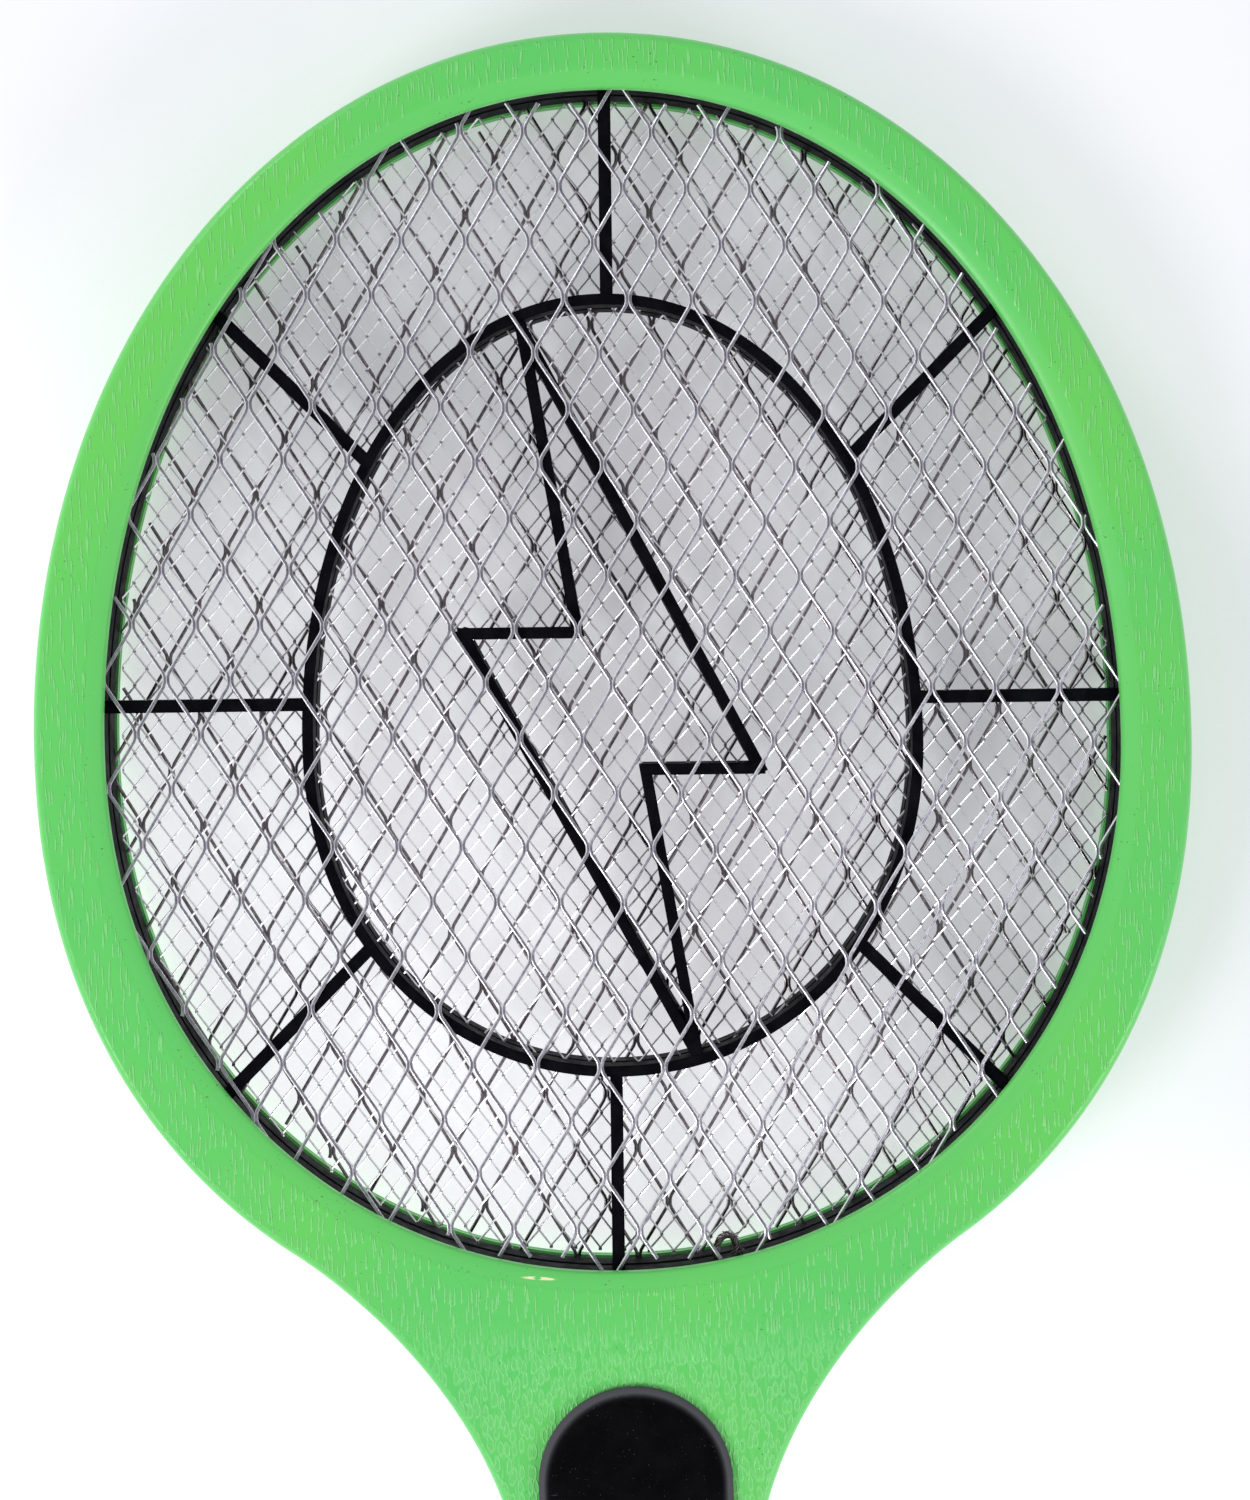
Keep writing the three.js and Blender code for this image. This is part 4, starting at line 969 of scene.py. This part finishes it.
def grid_splice():
    """Twisted bare strands that loop over the ring, with frayed ends."""
    low, high = node_box("grid_splice")
    z = (low[2] + high[2]) / 2
    x0, y0 = low[0] + 0.6, low[1]
    route = curve_through([
        (x0, y0 + 0.6, z - 0.2), (x0 - 0.1, y0 + 3.6, z), (x0 + 0.6, y0 + 6.2, z + 0.3),
        (x0 + 2.3, y0 + 6.9, z + 0.4), (x0 + 3.4, y0 + 5.4, z + 0.2), (x0 + 3.6, y0 + 3.4, z - 0.1),
    ], 14)
    tangents = unit(np.gradient(route, axis=0))
    side = unit(np.cross(tangents, [0, 0, 1]))
    other = np.cross(tangents, side)
    rng = random.Random(5)
    parts, strands = [], 7
    for strand in range(strands):
        turn = 2 * math.pi * strand / strands + np.linspace(0, 5.5 * math.pi, len(route))
        spread = 0.42 + 0.14 * rng.random()
        along = np.linspace(0, 1, len(route))
        spread = spread * (1 + 0.9 * np.clip(along - 0.8, 0, 1) * 5 * rng.random())
        line = route + (np.cos(turn) * spread)[:, None] * side + (np.sin(turn) * spread)[:, None] * other
        parts.append(tube(line[: len(line) - rng.randint(0, 8)], 0.17, 7))
    for _ in range(6):
        i = rng.randint(len(route) // 2, len(route) - 2)
        away = unit(np.array([rng.uniform(-1, 1), rng.uniform(-0.4, 1), rng.uniform(-0.3, 0.6)]))
        stub = [route[i], route[i] + 0.7 * away, route[i] + 1.3 * away + [0.2, -0.1, 0.0]]
        parts.append(tube(curve_through(stub, 4), 0.10, 6))
    splice = finish_mesh("grid_splice_strands", *joined(parts))
    return piece(splice, "housing", "fine_grid_metal", SPLICE_METAL, "grid_splice")


# ---- panel, button, switch, lamp


BUTTON_HOLE, LAMP_HOLE = 6.8, 1.8
KNOB_TRAVEL = 4.0
SLOT_HALF_WIDTH, SLOT_HALF_LENGTH = 2.0, 4.1
BED_HALF_WIDTH, BED_HALF_LENGTH = 4.5, 8.5
UNDER_PANEL_Z = 10.0
BOARD_TOP_Z = 13.3


def control_panel():
    foot = FRONT_Z + FIT_GAP
    flange = [(0.35, foot), (0.0, foot + 0.2)]
    flange += [(i, PANEL_TOP_Z - 0.03 - d) for i, d in quarter_round(2.6, 1.1, 9)]
    flange += [(3.2, PANEL_TOP_Z)]
    panel = finish_mesh("control_panel_face", *stacked(panel_outline(0, 0), flange))
    button_x, button_y, _ = node_middle("push_button")
    lamp_x, lamp_y, _ = node_middle("indicator_lamp")
    slide_y = node_middle("slide_knob")[1] + KNOB_TRAVEL / 2
    hole = PANEL_TOP_Z + 1
    dish = turned([
        (0, PANEL_TOP_Z - 0.5), (7.4, PANEL_TOP_Z - 0.5), (8.4, PANEL_TOP_Z - 0.3),
        (9.2, PANEL_TOP_Z + 0.05), (9.4, hole), (0, hole),
    ], 64)
    bed = stadium_loop(BED_HALF_WIDTH, slide_y + BED_HALF_LENGTH, slide_y - BED_HALF_LENGTH, 12)
    slot = (SLOT_HALF_WIDTH, slide_y + SLOT_HALF_LENGTH, hole)
    carve(panel, [
        (dish[0] + [button_x, button_y, 0], dish[1]),
        post(button_x, button_y, UNDER_PANEL_Z, hole, BUTTON_HOLE, 64),
        post(lamp_x, lamp_y, UNDER_PANEL_Z, hole, LAMP_HOLE, 32),
        stacked(bed, [(0.5, PANEL_TOP_Z - 0.45), (0, PANEL_TOP_Z - 0.1), (-0.1, hole)]),
        block((-SLOT_HALF_WIDTH, slide_y - SLOT_HALF_LENGTH, UNDER_PANEL_Z), slot),
    ])
    weigh_normals(shade(panel, 30))
    return piece(panel, "housing", "black_panel_plastic", PANEL_BLACK, "control_panel")


def panel_plug():
    """The part of the panel below its flange: a skirt through the shell and two pillars for the board."""
    outline = panel_outline(HOLE_INSET + FIT_GAP, HOLE_END_INSET + FIT_GAP)
    low, high, wall = FRONT_Z - LID, FRONT_Z + 0.5, 1.6
    parts = [ring_solid(outline, [(0, low), (0, high), (wall, high), (wall, low)])]
    for name in ("board_screw_1", "board_screw_2"):
        x, y, _ = node_middle(name)
        parts.append(post(x, y, BOARD_TOP_Z, high, BOSS_RADIUS))
    plug = finish_mesh("control_panel_skirt", *joined(parts))
    return piece(plug, "housing", "black_panel_plastic", PANEL_BLACK)


def push_button():
    x, y, _ = node_middle("push_button")
    (_, _, low), (_, _, top) = node_box("push_button")
    profile = [
        (0, low), (7.5, low), (7.8, low + 0.3), (7.8, low + 0.9), (7.5, low + 1.2), (6.5, low + 1.25),
        (6.5, top - 1.2), (6.38, top - 0.6), (6.0, top - 0.22), (5.4, top - 0.04), (5.0, top),
        (4.6, top - 0.06), (4.2, top - 0.22), (3.0, top - 0.34), (1.5, top - 0.4), (0, top - 0.42),
    ]
    points, faces = turned(profile, 72)
    button = finish_mesh("push_button_cap", points + [x, y, 0], faces)
    return piece(button, "button", "black_button_plastic", BUTTON_BLACK, "push_button")


def slide_knob():
    low, high = node_box("slide_knob")
    middle = node_middle("slide_knob")[1]
    pad_top = high[2] - 0.7
    parts = [block((-1.5, middle - 1.6, low[2]), (1.5, middle + 1.6, pad_top - 0.2))]
    parts.append(block((low[0], low[1], PANEL_TOP_Z + 0.3), (high[0], high[1], pad_top)))
    for step in (-2.4, -1.2, 0, 1.2, 2.4):
        spot = middle + step
        parts.append(block((low[0] + 0.2, spot - 0.35, pad_top - 0.3), (high[0] - 0.2, spot + 0.35, high[2])))
    knob = soften(finish_mesh("slide_knob_cap", *joined(parts)), 0.16, 3)
    return piece(knob, "slider", "black_button_plastic", BUTTON_BLACK, "slide_knob")


def indicator_lamp():
    x, y, _ = node_middle("indicator_lamp")
    (_, _, low), (_, _, top) = node_box("indicator_lamp")
    flange, lens = 1.9, 1.5
    angles = np.linspace(0, math.pi / 2, 8)[:-1]
    dome = [(lens * math.cos(a), top - lens + lens * math.sin(a)) for a in angles]
    points, faces = turned([(0, low), (flange, low), (flange, low + 1), (lens, low + 1), *dome, (0, top)], 32)
    lamp = finish_mesh("indicator_lens", points + [x, y, 0], faces)
    return piece(lamp, "housing", "lamp_red", LAMP_RED, "indicator_lamp")


# ---- screws and cells


def housing_screws():
    """Pan heads with a cross recess, facing the back."""
    (_, _, head), (_, _, tip) = node_box(SCREWS[0])
    rim, under, thread, core, pitch = 2.0, head + 1.3, 1.05, 0.86, 0.9
    profile = [
        (0, head), (1.1, head + 0.02), (1.6, head + 0.12), (1.9, head + 0.36),
        (rim, head + 0.7), (rim, under), (thread, under),
    ]
    for k in range(int((tip - head - 3.2) / pitch)):
        z = head + 1.6 + k * pitch
        profile += [(core, z), (thread, z + pitch * 0.35), (core, z + pitch * 0.7)]
    profile += [(0.6, tip - 0.7), (0, tip)]
    master = finish_mesh("screw_master", *turned(profile, 28))
    arm, half, floor = 1.15, 0.2, head + 0.75
    carve(master, [
        block((-arm, -half, head - 1), (arm, half, floor)),
        block((-half, -arm, head - 1), (half, arm, floor)),
    ])
    shade(master, 35)
    rng = random.Random(3)
    for name in SCREWS:
        x, y, _ = node_middle(name)
        screw = bpy.data.objects.new(name + "_body", master.data.copy())
        bpy.context.scene.collection.objects.link(screw)
        screw.location = Vector((x, y, 0)) * MM
        screw.rotation_euler = (0, 0, rng.uniform(0, math.pi / 2))
        piece(screw, "housing", "steel", STEEL, name)
    bpy.data.objects.remove(master)


def cells():
    """Two round cells, their nubs at opposite ends."""
    for name, direction in (("battery_left", -1), ("battery_right", 1)):
        low, high = node_box(name)
        middle = node_middle(name)
        length, radius = high[1] - low[1], (high[0] - low[0]) / 2
        profile = [
            (0, 0), (2.4, 0), (2.7, 0.25), (2.7, 1.2), (5.6, 1.25), (5.9, 1.0), (6.5, 0.95),
            (radius - 0.15, 1.25), (radius, 1.7), (radius, length - 0.7), (radius - 0.2, length - 0.2),
            (radius - 0.8, length), (5.2, length - 0.25), (0, length - 0.25),
        ]
        points, faces = turned(profile, 48)
        lying = points[:, [0, 2, 1]] * ([1, 1, -1] if direction < 0 else [1, -1, 1])
        start = low[1] if direction < 0 else high[1]
        cell = finish_mesh(name + "_can", lying + [middle[0], start, middle[2]], faces)
        piece(cell, "housing", "cell_wrap", CELL, name)


def contact_springs():
    for name, direction in (("spring_left", -1), ("spring_right", 1)):
        low, high = node_box(name)
        middle = node_middle(name)
        turns, per_turn, wire = 4.5, 22, 0.38
        t = np.linspace(0, 1, int(turns * per_turn))
        radius = 4.4 - 1.7 * t
        angle = 2 * math.pi * turns * t
        start, end = (low[1] + 0.5, high[1] - 0.5)[::direction]
        x = middle[0] + radius * np.cos(angle)
        y = start + (end - start) * t**0.9
        z = middle[2] + radius * np.sin(angle)
        route = np.stack([x, y, z], 1)
        spring = finish_mesh(name + "_coil", *tube(route, wire, 8))
        piece(spring, "housing", "steel", STEEL, name)


# ---- CAD pieces that stay

KEPT = (
    (TRAY_BLACK, ("switch_body", "battery_tray", "transistor", "diode_1", "diode_2", "diode_3")),
    (STEEL, ("slide_switch_body", "switch_plunger", "board_screw_1", "board_screw_2")),
    (STEEL, ("terminal_negative", "terminal_positive", "bridge_plate")),
    (BOARD, ("circuit_board",)),
    (FERRITE, ("transformer_core",)),
    (COPPER, ("transformer_winding",)),
    (RED_LACQUER, ("storage_capacitor",)),
    (TAN_LACQUER, ("disc_capacitor_1", "disc_capacitor_2", "resistor_1", "resistor_2")),
    (RED_WIRE, ("centre_grid_lead", "battery_lead_positive")),
    (BLACK_WIRE, ("outer_grid_lead", "battery_lead_negative")),
)
ROUND_NODES = ("lead", "disc", "diode", "resistor", "plunger", "screw")


def dress_kept_nodes():
    """Materials for the CAD nodes that stay. Round ones are shaded smooth and the rest get soft edges."""
    for material, name in ((material, name) for material, names in KEPT for name in names):
        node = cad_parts[name]
        node.data.materials.clear()
        node.data.materials.append(material)
        if any(word in name for word in ROUND_NODES):
            shade(node, 40)
        else:
            soften(node, 0.25)


# ---- camera, light and ground


def camera():
    """Above the head, a little towards its top, and rolled as the racket lies."""
    data = bpy.data.cameras.new("camera")
    cam = bpy.data.objects.new("camera", data)
    bpy.context.scene.collection.objects.link(cam)
    bpy.context.scene.camera = cam
    eye = np.array([2.5, 131.4, FRONT_Z + 480])
    target = np.array([2.1, 116.0, FRONT_Z])
    back = unit(eye - target)
    right = unit(np.cross([0.0314, 0.9995, 0], back))
    up = np.cross(back, right)
    turn = Matrix([[*axes] for axes in zip(right, up, back)]).to_4x4()
    cam.matrix_world = Matrix.Translation(Vector(eye) * MM) @ turn
    data.lens = 66.5
    data.clip_start = 0.01


def area_light(name, spot, aim, size, power, color=(1, 1, 1)):
    data = bpy.data.lights.new(name, "AREA")
    data.shape = "DISK"
    data.size = size
    data.energy = power
    data.color = color
    light = bpy.data.objects.new(name, data)
    light.location = spot
    light.rotation_euler = (Vector(spot) - Vector(aim)).to_track_quat("Z", "Y").to_euler()
    bpy.context.scene.collection.objects.link(light)


def ground():
    """A pale sheet, lit softly from below, brighter towards the handle and the left."""
    s = Surface("ground_sheet")
    tone = s.ramp(s.noise(60.0, 3.0, 0.5), 0.3, 0.7)
    s.bump(s.noise(0.8, 3.0, 0.6), 0.02)
    slant = s.vector("DOT_PRODUCT", s.where, (0.8, 1.0, 0), output="Value")
    glow = s.ramp(slant, -0.02, 0.17, 0.76, 0.3)
    color = s.mix(tone, linear(208, 209, 213), linear(212, 212, 215))
    material = s.done(color, 0.7, 0, 0.1, Emission_Color=linear(252, 252, 255), Emission_Strength=glow)
    reach, z = 2500.0, -0.3
    points = [(-reach, -reach, z), (reach, -reach, z), (reach, reach, z), (-reach, reach, z)]
    sheet = finish_mesh("ground_sheet", points, [[0, 1, 2, 3]])
    sheet.data.materials.append(material)


def studio():
    head = (0, 0.12, 0)
    area_light("key", (-0.85, -0.45, 0.85), head, 0.45, 6.3)
    area_light("low_right", (0.95, -0.5, 0.6), head, 0.4, 5.4)
    area_light("high_left", (-0.75, 1.0, 0.6), head, 0.4, 3.9, (0.95, 0.98, 1.0))
    world = bpy.data.worlds.new("studio")
    bpy.context.scene.world = world
    world.use_nodes = True
    sky = world.node_tree.nodes["Background"]
    sky.inputs["Color"].default_value = (0.96, 0.965, 1.0, 1)
    sky.inputs["Strength"].default_value = 0.62


camera()
front_shell()
rear_shell()
inner_structure()
battery_cover()
spacer_web("front_spacer_web", "front_spacer")
spacer_web("rear_spacer_web", "rear_spacer")
expanded_metal("front_grid_strands", "front_grid", COARSE_METAL, "coarse_grid_metal", FRONT_COARSE)
expanded_metal("rear_grid_strands", "rear_grid", SHADED_REAR_METAL, "coarse_grid_metal", REAR_COARSE)
expanded_metal("centre_grid_strands", "centre_grid", FINE_METAL, "fine_grid_metal", FINE)
grid_splice()
control_panel()
panel_plug()
push_button()
slide_knob()
indicator_lamp()
housing_screws()
cells()
contact_springs()
dress_kept_nodes()
ground()
studio()
bpy.context.scene.view_settings.view_transform = "Standard"
